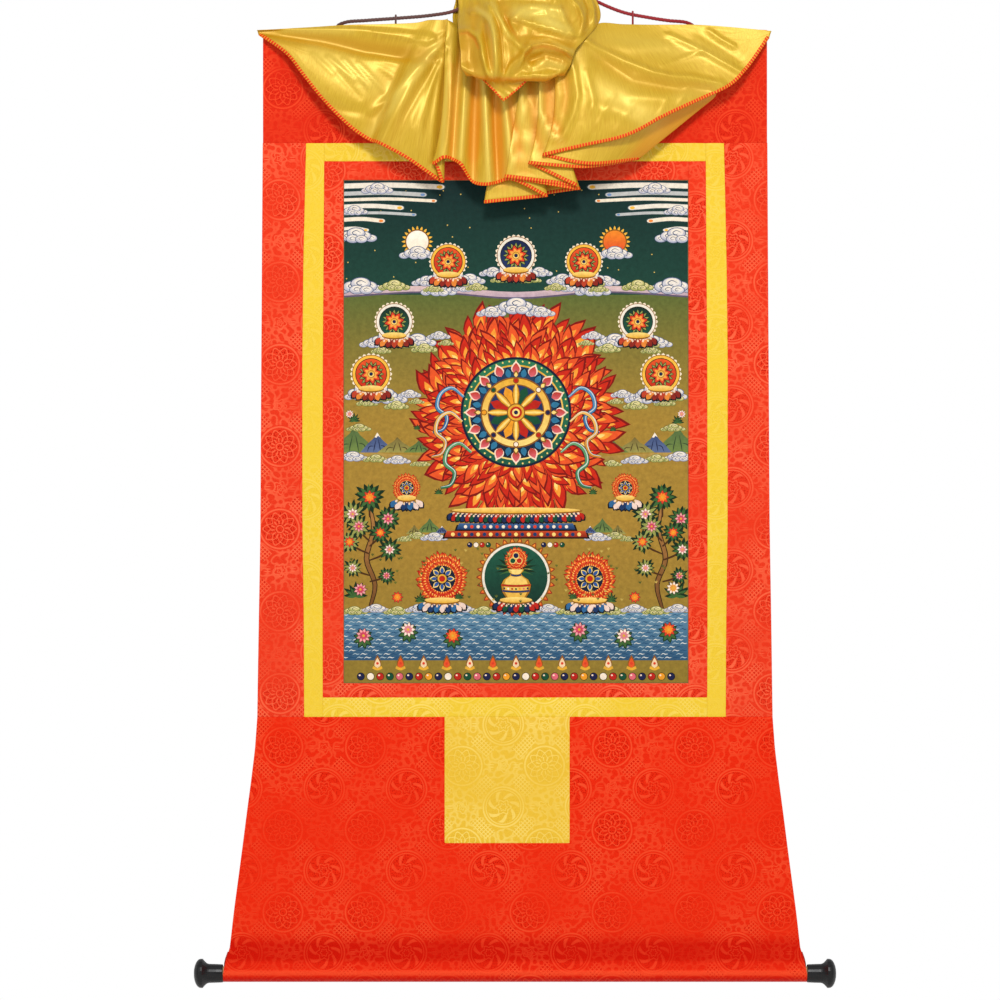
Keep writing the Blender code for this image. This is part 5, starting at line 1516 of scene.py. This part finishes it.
def compose():
    """Lays out the whole picture."""
    art = Picture()
    wide, tall = PICTURE_WIDE, PICTURE_TALL
    mid = wide / 2
    for low, high, *tones in ((-1, tall + 1, SKY[3]), (505, tall + 1, SKY[1], SKY[0]),
                              (345, 505, SKY[3], SKY[2]), (200, 345, EARTH, SKY[3]),
                              (-1, 200, "8A7A34", EARTH)):
        art.block(-1, low, wide + 1, high, *tones)
    # sky: stars, banded clouds and heaps at the corners, sun and moon
    for _ in range(46):
        art.disc(wide * art.chance.random(), 520 + 125 * art.chance.random(), 0.9, "D8C06A", sides=6)
    for side in (0, 1):
        for n, (reach, y, thick) in enumerate(((126, 646, 6.5), (104, 636, 5), (118, 628, 4), (74, 619, 5.5),
                                               (92, 610, 3.5), (50, 602, 5), (30, 590, 4))):
            path = [(across(x, side), y + up) for x, up in ((-6, 0), (reach * 0.5, 1.5), (reach, -1))]
            for more, tone in ((1.3, "3C5462"), (1.0, (HALO, "BCC7D2", "F0EEE4")[n % 3])):
                art.line(path, thick * more, tone)
                art.disc(across(reach, side), y - 1, thick * more * 0.8, tone, tall=thick * more * 0.5)
            art.disc(across(reach - 1, side), y - 1, thick * 0.6, (SUN, "6E93D0", "E98A3C")[n % 3],
                     tall=thick * 0.36)
        for x, y, reach in ((16, 578, 20), (44, 640, 15), (14, 612, 13)):
            art.cloud(across(x, side), y, reach)
    for up, width, *tones in ((0, 9.5, "5E5878"), (1, 7.0, "B9A9C6", "D8C4CC")):
        path = ((-2, 506), (110, 512), (mid, 504), (wide - 110, 512), (wide + 2, 506))
        art.line([(x, y + up) for x, y in path], width, *tones)
    for x, y, reach, tones in ((22, 512, 22, CLOUD), (66, 514, 15, MOSS), (124, 508, 17, CLOUD),
                               (158, 512, 12, CLOUD)):
        art.both(art.cloud, x, y, reach, tones)
    for x, *tones in ((96, "F2EFE2", "FFFFFF"), (wide - 96, *BLOSSOMS[0])):
        art.wreath(x, 574, 14, 20, 6.5, 1.5, SUN)
        art.disc(x, 574, 16, DEEP_GOLD)
        art.disc(x, 574, 14.4, *tones)
        art.cloud(x, 556, 17)
    # hills under the horizon and beside the seat, with clouds at their feet
    for x, reach, high, tones in ((14, 30, 34, GREEN_HILL), (44, 22, 26, BLUE_HILL), (70, 26, 20, DUSK_HILL),
                                  (98, 20, 16, GREEN_HILL)):
        art.both(art.hill, x, 300, reach, high, tones)
    for side in (0, 1):
        shore = [(across(x, side), y) for x, y in ((-4, 298), (50, 296), (120, 290), (150, 280))]
        art.line(shore, 6, "6B5A2C", "B49A54", taper=0.3)
        for x, y, reach, tones in ((12, 292, 15, CLOUD), (42, 290, 12, MOSS), (70, 288, 13, CLOUD),
                                   (100, 284, 10, MOSS)):
            art.cloud(across(x, side), y, reach, tones, 0.5)
    for x, y, reach, tones in ((112, 196, 17, GREEN_HILL), (92, 194, 11, DUSK_HILL),
                               (128, 195, 9, BLUE_HILL)):
        art.both(art.hill, x, y, reach, reach * 1.1, tones)
    for x, y, reach, tones in ((96, 190, 11, MOSS), (118, 188, 13, CLOUD), (78, 186, 8, MOSS),
                               (20, 330, 12, MOSS)):
        art.both(art.cloud, x, y, reach, tones, 0.5)
    # the wheel in its flames
    art.flames(mid, 352, 62, 136, 6)
    art.discs(mid, 352, 1, ((72, INK), (69, GREEN, "2E7A5A"), (62, PALE_GOLD, GOLD),
                            (60, "16243E", "24406A")), sides=72)
    art.rosette(mid, 352, 1, (
        (65.5, 48, 2.6, 1.2, PALE_GOLD), (50, 16, 17, 6.5, "F4E3D8"), (50, 16, 14.5, 5.0, "D76A7C", "B8361E"),
        (46, 16, 14, 5.2, "0F1A30", None, math.pi / 16), (46, 16, 12, 4.0, "2F78A8", None, math.pi / 16)))
    art.wheel(mid, 352, 46)
    for side in (-1, 1):
        for out, y, tone, shade in ((68, 372, "2E6AA8", "5A9AD0"), (70, 340, "C8862C", "F0C46A"),
                                    (58, 300, "2E7A5A", "66A878")):
            art.scarf(mid + side * out, y, side, tone, shade)
    for x, y, reach in ((mid, 486, 22), (mid - 32, 480, 14), (mid + 32, 480, 14)):
        art.cloud(x, y, reach)
    # lotus seat and its steps
    for y, half, *tones in ((188, 96, SOOT), (190, 93, "8A2A1C", "C24A26"), (198, 80, SOOT),
                            (200, 77, BLUE, "3C66A0")):
        step = [(mid - half, y), (mid + half, y), (mid + half - 3, y + 8), (mid - half + 3, y + 8)]
        art.shape(step, *tones)
    for count, y, radius, tones in ((21, 193.6, 2.5, (PALE_GOLD, BLUE)), (17, 203.6, 2.2, (PEARL, CORAL))):
        for n in range(count):
            art.disc(mid + (n - count // 2) * 8.2, y, radius, tones[n % 2])
    art.lotus(mid, 220, 184)
    # roundels in an arch over the wheel, each on its heap of clouds
    for x, y, reach in ((22, 372, 15), (60, 368, 17), (86, 374, 11), (40, 440, 14), (96, 442, 18),
                        (124, 450, 11), (108, 520, 14), (164, 522, 15), (mid - 30, 532, 13)):
        for side in (0, 1):
            art.cloud(across(x, side), y, reach)
            art.cloud(across(x, side) + (9 - 18 * side), y - 9, reach * 0.7, MOSS)
    for x, y, *look in ((36, 402, 24, SCARLET, SUN, FLAME[2]), (66, 470, 23, GREEN, HALO, "16302A"),
                        (136, 548, 22, SCARLET, SUN, FLAME[2])):
        art.both(art.roundel, x, y, *look)
    art.roundel(mid, 556, 24, "24386E", HALO, "18244E")
    # trees at the sides, the lake along the foot
    for side in (0, 1):
        art.tree(across(34, side), 96, 1 - 2 * side)
    art.water(-1, wide + 1, 30, 92)
    for n in range(16):
        art.cloud(14 + n * 28, 92 + 3 * (n % 2), 13, (MOSS, CLOUD)[n % 2], 0.5)
    for n, x in enumerate((26, 84, 142, wide - 142, wide - 84, wide - 26)):
        y = 58 + 8 * (n % 2)
        art.rosette(x, y, 1, ((2, 9, 12, 3.4, DEEP_LEAF), (2, 9, 10, 2.4, LEAF)))
        art.flower(x, y + 4, 9, *BLOSSOMS[2 - n % 3])
    # flaming jewels, vase, grass, gifts
    for side in (-1, 1):
        for x, y, radius in ((mid + side * 96, 136, 33), (mid + side * 142, 254, 18)):
            art.flames(x, y, radius * 0.48, radius, 3)
            art.disc(x, y, radius * 0.52, INK)
            art.rosette(x, y, radius, ((0.2, 8, 0.3, 0.1, PALE_GOLD), (0.2, 8, 0.25, 0.07, "2F58A8")))
            art.discs(x, y, radius, ((0.18, GOLD), (0.12, RUBY)))
            art.lotus(x, y - radius, radius * 1.5, ("2F6AA8", "E9D8D8", BLUE))
    art.rosette(mid, 138, 1, ((40, 30, 12, 3.4, "8A2A1C"), (40, 30, 10, 2.4, FLAME[2], FLAME[3])))
    art.discs(mid, 138, 1, ((46, DEEP_GOLD), (44, HALO), (41, "12302A", GREEN)), sides=60)
    art.vase(mid, 106, 42)
    for n in range(80):
        x, y = wide * art.chance.random(), 104 + 74 * art.chance.random()
        for k in (-1, 0, 1):
            art.petal(x, y, math.pi / 2 - 0.5 * k, 4.5, 0.6, ("5E6A2C", "C2AE5C", "4A5A2A")[n % 3], steps=2)
    for x, y, reach in ((16, 112, 24), (100, 106, 12), (wide - 16, 112, 26), (wide - 100, 106, 12),
                        (150, 110, 10), (wide - 150, 110, 10), (124, 246, 9), (wide - 124, 246, 9),
                        (14, 340, 12), (wide - 14, 338, 12), (96, 330, 8), (wide - 98, 328, 8)):
        art.leaves(x, y, reach)
    for x, y, radius, *tones in ((22, 122, 8, *BLOSSOMS[2]), (wide - 20, 124, 8, "F4EEE8", "E0A04A"),
                                 (70, 112, 7, *BLOSSOMS[0]), (wide - 70, 112, 7, *BLOSSOMS[0]),
                                 (8, 350, 5, *BLOSSOMS[1]), (wide - 9, 350, 5, *BLOSSOMS[1])):
        art.flower(x, y, radius, *tones)
    for n in range(13):
        x = mid + (n - 6) * 30
        for grow, tone in ((1.0, DEEP_GOLD), (0.8, ("F0D9B8", FLAME[2])[n % 2])):
            art.petal(x, 20, math.pi / 2, 17 * grow, 5.0 * grow, tone, belly=0.3)
        art.disc(x, 26, 1.8, CORAL)
        art.line([(x - 6, 21), (x, 18.5), (x + 6, 21)], 3.4, GOLD)
    for x, y, count, radius, pitch in ((mid, 9, 33, 5.2, 12.6), (mid - 48, 180, 4, 3.6, 8.0),
                                       (mid + 48, 180, 4, 3.6, 8.0)):
        art.jewel_row(x, y, count, radius, pitch)
    # dark line round the picture
    for corners in ((0, 0, wide, 1), (0, tall - 1, wide, tall), (0, 0, 1, tall), (wide - 1, 0, wide, tall)):
        art.block(*corners, "6E6A4E")
    return art


def painted_canvas():
    """Cotton primed with chalk and glue, painted in matt mineral colours: a fine weave shows through, and the
    washes are a little uneven."""
    surface, tree = new_surface("gouache on primed cotton")
    base = put(tree, "Attribute", attribute_name="Paint", out="Color")
    place = put(tree, "TexCoord", out="Object")
    wash = put(tree, "TexNoise", {"Vector": place, "Scale": 160.0, "Detail": 5.0, "Roughness": 0.65},
               out="Fac")
    shade = put(tree, "MapRange", [wash, 0.3, 0.7, 0.80, 1.12], clamp=True)
    base = put(tree, "VectorMath", {0: base, "Scale": shade}, operation="SCALE")
    base = put(tree, "VectorMath", [base, PRIMING], operation="MULTIPLY")
    weave = put(tree, "TexNoise", {"Vector": place, "Scale": 1300.0, "Detail": 2.0}, out="Fac")
    bump = put(tree, "Bump", {"Height": weave, "Strength": 0.25, "Distance": 0.2 * MM})
    shader = put(tree, "BsdfPrincipled", {"Base Color": base, "Roughness": 0.7, "Normal": bump,
                                          "Specular IOR Level": 0.12})
    return finished(surface, shader)


def primed_back():
    """Back of the canvas: unpainted cotton, a warm off-white with size stains."""
    surface, tree = new_surface("unpainted cotton")
    place = put(tree, "TexCoord", out="Object")
    stain = put(tree, "TexNoise", {"Vector": place, "Scale": 11.0, "Detail": 4.0}, out="Fac")
    base = put(tree, "Mix", {0: stain, 6: linear("D9C9A6"), 7: linear("EADFC6")}, **COLOURS)
    shader = put(tree, "BsdfPrincipled", {"Base Color": base, "Roughness": 0.9, "Specular IOR Level": 0.2})
    return finished(surface, shader)


def visible_edges(shapes):
    """Edges of what shows of flat shapes once each lies over the ones before it, the places they
    join, and a function that gives the shape seen at a place."""
    corners = [(0, 0), (PICTURE_WIDE, 0), (PICTURE_WIDE, PICTURE_TALL), (0, PICTURE_TALL)]
    places, faces = [Vector(corner) for corner in corners], [[0, 1, 2, 3]]
    for points, *_ in shapes:
        faces.append(list(range(len(places), len(places) + len(points))))
        places += [Vector(point) for point in points]
    spots, _, parts, _, _, owners = delaunay_2d_cdt(places, [], faces, 0, 1e-4)
    top = [max(owner) - 1 if 0 in owner else -1 for owner in owners]
    open_edges, near = {}, {}
    for part, owner in zip(parts, top):
        for a, b in zip(part, part[1:] + part[:1]):
            edge = (min(a, b), max(a, b))
            if open_edges.setdefault(edge, owner) != owner:
                near.setdefault(a, set()).add(b)
                near.setdefault(b, set()).add(a)
    # a place in the middle of a straight run isn't needed
    for v in list(near):
        if len(near[v]) == 2:
            a, b = near[v]
            way = spots[b] - spots[a]
            off = spots[v] - spots[a]
            if b not in near[a] and abs(way.x * off.y - way.y * off.x) < STRAIGHT * way.length:
                del near[v]
                near[a] = near[a] - {v} | {b}
                near[b] = near[b] - {v} | {a}
    tree = BVHTree.FromPolygons([(spot.x, spot.y, 0) for spot in spots], parts)

    def seen_at(x, y):
        part = tree.ray_cast(Vector((x, y, 1)), Vector((0, 0, -1)))[2]
        return -1 if part is None else top[part]

    index = {v: n for n, v in enumerate(near)}
    edges = [(index[a], index[b]) for a in near for b in near[a] if a < b]
    return [spots[v] for v in near], edges, seen_at


def painting_cloth():
    """The painted canvas: its front is cut along the edges of all its shapes, each part in its
    colour, and its back and rim are plain."""
    art = compose()
    low, high = box_mm("painting")
    left, bottom = low.x - CLOSE, low.z - CLOSE
    wide, tall = high.x - low.x + 2 * CLOSE, high.z - low.z + 2 * CLOSE

    def on_cloth(place, out):
        x = left + place[0] / PICTURE_WIDE * wide
        z = bottom + place[1] / PICTURE_TALL * tall
        back = sewn(x, z, left, left + wide, bottom + tall, bottom)
        return Vector((x, ripple(x, z) + 0.15 + back + out, z))

    columns, rows = CANVAS_COLUMNS, CANVAS_ROWS
    grid = [(PICTURE_WIDE * c / columns, PICTURE_TALL * r / rows)
            for r in range(rows + 1) for c in range(columns + 1)]
    places, edges, seen_at = visible_edges(art.shapes)
    spots, _, parts, _, _, _ = delaunay_2d_cdt(places + [Vector(place) for place in grid], edges, [], 0, 1e-4)
    half = sizes("canvas_thick") / 2
    points = [on_cloth(spot, -half) for spot in spots]
    faces, tones = [], []
    for part in parts:
        owner = seen_at(*(sum(spots[v][k] for v in part) / len(part) for k in (0, 1)))
        if owner < 0:
            continue
        _, near, far, foot, head = art.shapes[owner]
        faces.append(part)
        for v in part:
            t = min(1.0, max(0.0, (spots[v].y - foot) / (head - foot))) if far else 0.0
            tones += [a + (b - a) * t for a, b in zip(near, far or near)]
    painted = len(faces)
    # the plain back, seen from behind, and the rim round both
    first = len(points)
    points += [on_cloth(place, half) for place in grid]
    faces += [tuple(first + v for v in reversed(cell)) for cell in grid_faces(rows + 1, columns + 1)]
    rim = ([c for c in range(columns)] + [columns + r * (columns + 1) for r in range(rows)]
           + [rows * (columns + 1) + c for c in range(columns, 0, -1)]
           + [r * (columns + 1) for r in range(rows, 0, -1)])
    front = len(points)
    points += [on_cloth(grid[v], -half) for v in rim]
    faces += [(front + n, first + v, first + rim[(n + 1) % len(rim)], front + (n + 1) % len(rim))
              for n, v in enumerate(rim)]
    piece = add_piece("painted_canvas", points, faces, [painted_canvas(), primed_back()])
    for face in piece.data.polygons[painted:]:
        face.material_index = 1
    plain = sum(len(face) for face in faces[painted:])
    layer = piece.data.color_attributes.new("Paint", "FLOAT_COLOR", "CORNER")
    layer.data.foreach_set("color", tones + [0.6, 0.5, 0.4, 1.0] * plain)
    # the back's share of this map lies beside the front's
    flat = piece.data.uv_layers.new(name="OFBake")
    uv = []
    for face in piece.data.polygons:
        for loop in face.loop_indices:
            point = points[piece.data.loops[loop].vertex_index]
            u = (point.x - left) / wide * PICTURE_WIDE / PICTURE_TALL
            v = (point.z - bottom) / tall
            uv += [u, v] if face.index < painted else [0.72 + 0.26 * u, 0.3 * v]
    flat.data.foreach_set("uv", uv)
    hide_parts("painting")


# ------------------------------------------------------------------ operators
class SCROLL_OT_mount(bpy.types.Operator):
    """Lay the brocade: heading, sides, frame, borders, lower panel and door."""

    bl_idname = "scroll.mount"
    bl_label = "Lay the brocade mount"

    def execute(self, context):
        red, shaded_top_red, side_red, yellow, door_yellow = (
            [colour(c) for c in names] for names in (
                ("red", "red_line", "red_deep"), ("red_top_shaded", "red_line", "red_deep"),
                ("red_side", "side_line", "red_deep"), ("yellow", "yellow_line", "yellow_deep"),
                ("yellow_door", "yellow_line", "yellow_deep")))
        lining = backing_paper()
        # the lower panel's brocade has painted shade and a painted highlight by the rod
        broad = [brocade("red brocade", *red, shift=(181, -969), foot=colour("red_painted_shade")), lining]
        # the heading's darker red is painted shade against the key lamp's stronger light at the top
        top = [brocade("red brocade, heading, painted shade", *shaded_top_red, shift=(181, -969)), lining]
        narrow = [brocade("red brocade, sides", *side_red, shift=(284, -899), contrast=1.1), lining]
        inner = [brocade("red brocade, border", *side_red, shift=(236, -861), contrast=1.1), lining]
        gold = [brocade("yellow brocade", *yellow, shift=(-14, -1100), contrast=0.75), lining]
        door = [brocade("yellow brocade, door", *door_yellow, shift=(-14, -1100), contrast=0.75), lining]
        upright = [brocade("yellow brocade, uprights", *yellow, shift=(262, -700), contrast=0.3,
                           streaks=0.4), lining]
        heading_cloth(top)
        for side, free in (("left", -1), ("right", 1)):
            flat_panel("side_panel_" + side, narrow, free_side=free)
            flat_panel("frame_" + side, upright, step=6.0)
            flat_panel("border_" + side, inner, step=6.0)
        for edge in ("top", "bottom"):
            flat_panel("frame_" + edge, gold, step=6.0)
            flat_panel("border_" + edge, inner, step=6.0)
        lower_cloth(broad)
        flat_panel("door_panel", door)
        return {"FINISHED"}


class SCROLL_OT_painting(bpy.types.Operator):
    """Paint the canvas in the middle."""

    bl_idname = "scroll.painting"
    bl_label = "Paint the canvas"

    def execute(self, context):
        painting_cloth()
        return {"FINISHED"}


class SCROLL_OT_cord(bpy.types.Operator):
    """Twist the hanging cord, and dress its two ties in the same cotton."""

    bl_idname = "scroll.cord"
    bl_label = "Twist the hanging cord"

    def execute(self, context):
        radius = sizes("cord_thick") / 2
        points, length = walk(CORD_ROUTE, 1.4)
        cotton = twisted_cotton()
        cord = twisted("hanging_cord_strands", points, radius, 3, sizes("strand_turn"), cotton)
        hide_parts("hanging_cord")
        dress("cord_tie_left", cotton)
        dress("cord_tie_right", cotton)
        return {"FINISHED"}


class SCROLL_OT_veil(bpy.types.Operator):
    """Drape the silk veil and stitch its edge."""

    bl_idname = "scroll.veil"
    bl_label = "Drape the veil"

    def execute(self, context):
        veil_cloth()
        return {"FINISHED"}


class SCROLL_OT_rod(bpy.types.Operator):
    """Finish the rod, its knobs and the batten."""

    bl_idname = "scroll.rod"
    bl_label = "Finish rod, knobs and batten"

    def execute(self, context):
        wood, black = bare_wood(), lacquered_wood()
        for node, surface in (("bottom_rod", wood), ("top_batten", wood),
                              ("knob_left", black), ("knob_right", black)):
            dress(node, surface)
        return {"FINISHED"}


class SCROLL_OT_stage(bpy.types.Operator):
    """Set the camera, the soft light and the pale floor."""

    bl_idname = "scroll.stage"
    bl_label = "Set camera, light and floor"

    def execute(self, context):
        scene = context.scene
        scene.view_settings.view_transform = "Standard"
        sight = bpy.data.cameras.new("camera")
        sight.sensor_width = 36.0
        sight.lens = 36.0 * VIEW_DISTANCE / VIEW_WIDTH
        sight.clip_end = 100.0
        eye = bpy.data.objects.new("camera", sight)
        scene.collection.objects.link(eye)
        eye.location = (VIEW_X * MM, -VIEW_DISTANCE * MM, VIEW_Z * MM)
        eye.rotation_euler = (math.radians(90), 0, 0)
        scene.camera = eye
        for name, place, wide, power in LAMPS:
            data = bpy.data.lights.new(name, "AREA")
            data.size = wide
            data.energy = power
            lamp = bpy.data.objects.new(name, data)
            lamp.location = place
            lamp.rotation_euler = (Vector((0, 0, -0.6)) - Vector(place)).to_track_quat("-Z", "Y").to_euler()
            scene.collection.objects.link(lamp)
        world = bpy.data.worlds.new("pale room")
        world.use_nodes = True
        room = world.node_tree
        seen = put(room, "LightPath", out="Is Camera Ray")
        glow = put(room, "MapRange", [seen, 0.0, 1.0, ROOM_LIGHT, 1.0])
        room.links.new(glow, room.nodes["Background"].inputs["Strength"])
        room.nodes["Background"].inputs["Color"].default_value = (1.0, 1.0, 1.0, 1.0)
        scene.world = world
        floor = bpy.data.meshes.new("floor")
        turns = [math.tau * n / 96 for n in range(96)]
        ring = [(FLOOR_WIDE / 2 * math.cos(turn), FLOOR_WIDE / 2 * math.sin(turn), FLOOR_Z) for turn in turns]
        floor.from_pydata(ring, [], [tuple(range(96))])
        ground = bpy.data.objects.new("floor", floor)
        surface, tree = new_surface("pale plaster floor")
        plaster = put(tree, "BsdfPrincipled", {"Base Color": linear("FAFAF8"), "Roughness": 0.9})
        floor.materials.append(finished(surface, plaster))
        scene.collection.objects.link(ground)
        return {"FINISHED"}


VIEW_DISTANCE, VIEW_WIDTH = 6000.0, 1300.0      # how far the camera stands, and what it takes in
VIEW_X, VIEW_Z = -19.5, -702.0          # mm from the hanging point to the middle of the view
ROOM_LIGHT = 0.5                        # the backdrop itself shows white
FLOOR_Z, FLOOR_WIDE = -1.75, 6.4        # m
LAMPS = [
    # name, place (m), size (m), power (W)
    ("key", (0.1, -3.0, 1.45), 0.6, 64.0),
    ("left", (-1.9, -2.4, -0.1), 1.4, 9.0),
    ("right", (1.9, -2.4, -0.1), 1.4, 7.0),
]

OPERATORS = [SCROLL_OT_mount, SCROLL_OT_painting, SCROLL_OT_cord, SCROLL_OT_veil, SCROLL_OT_rod,
             SCROLL_OT_stage]


class SCROLL_PT_panel(bpy.types.Panel):
    """Lists the scroll's sizes, colours and steps."""

    bl_label = "Hanging scroll"
    bl_idname = "SCROLL_PT_panel"
    bl_space_type = "VIEW_3D"
    bl_region_type = "UI"
    bl_category = "Scroll"

    def draw(self, context):
        for group in (context.scene.scroll_sizes, context.scene.scroll_colours):
            for name in group.bl_rna.properties.keys():
                if name not in ("rna_type", "name"):
                    self.layout.prop(group, name)
        for operator in OPERATORS:
            self.layout.operator(operator.bl_idname)


CLASSES = [ScrollSizes, ScrollColours, *OPERATORS, SCROLL_PT_panel]


def register():
    for kind in CLASSES:
        bpy.utils.register_class(kind)
    bpy.types.Scene.scroll_sizes = bpy.props.PointerProperty(type=ScrollSizes)
    bpy.types.Scene.scroll_colours = bpy.props.PointerProperty(type=ScrollColours)


def unregister():
    del bpy.types.Scene.scroll_colours
    del bpy.types.Scene.scroll_sizes
    for kind in reversed(CLASSES):
        bpy.utils.unregister_class(kind)


def main():
    register()
    for operator in OPERATORS:
        group, name = operator.bl_idname.split(".")
        getattr(getattr(bpy.ops, group), name)()


if __name__ == "__main__":
    main()
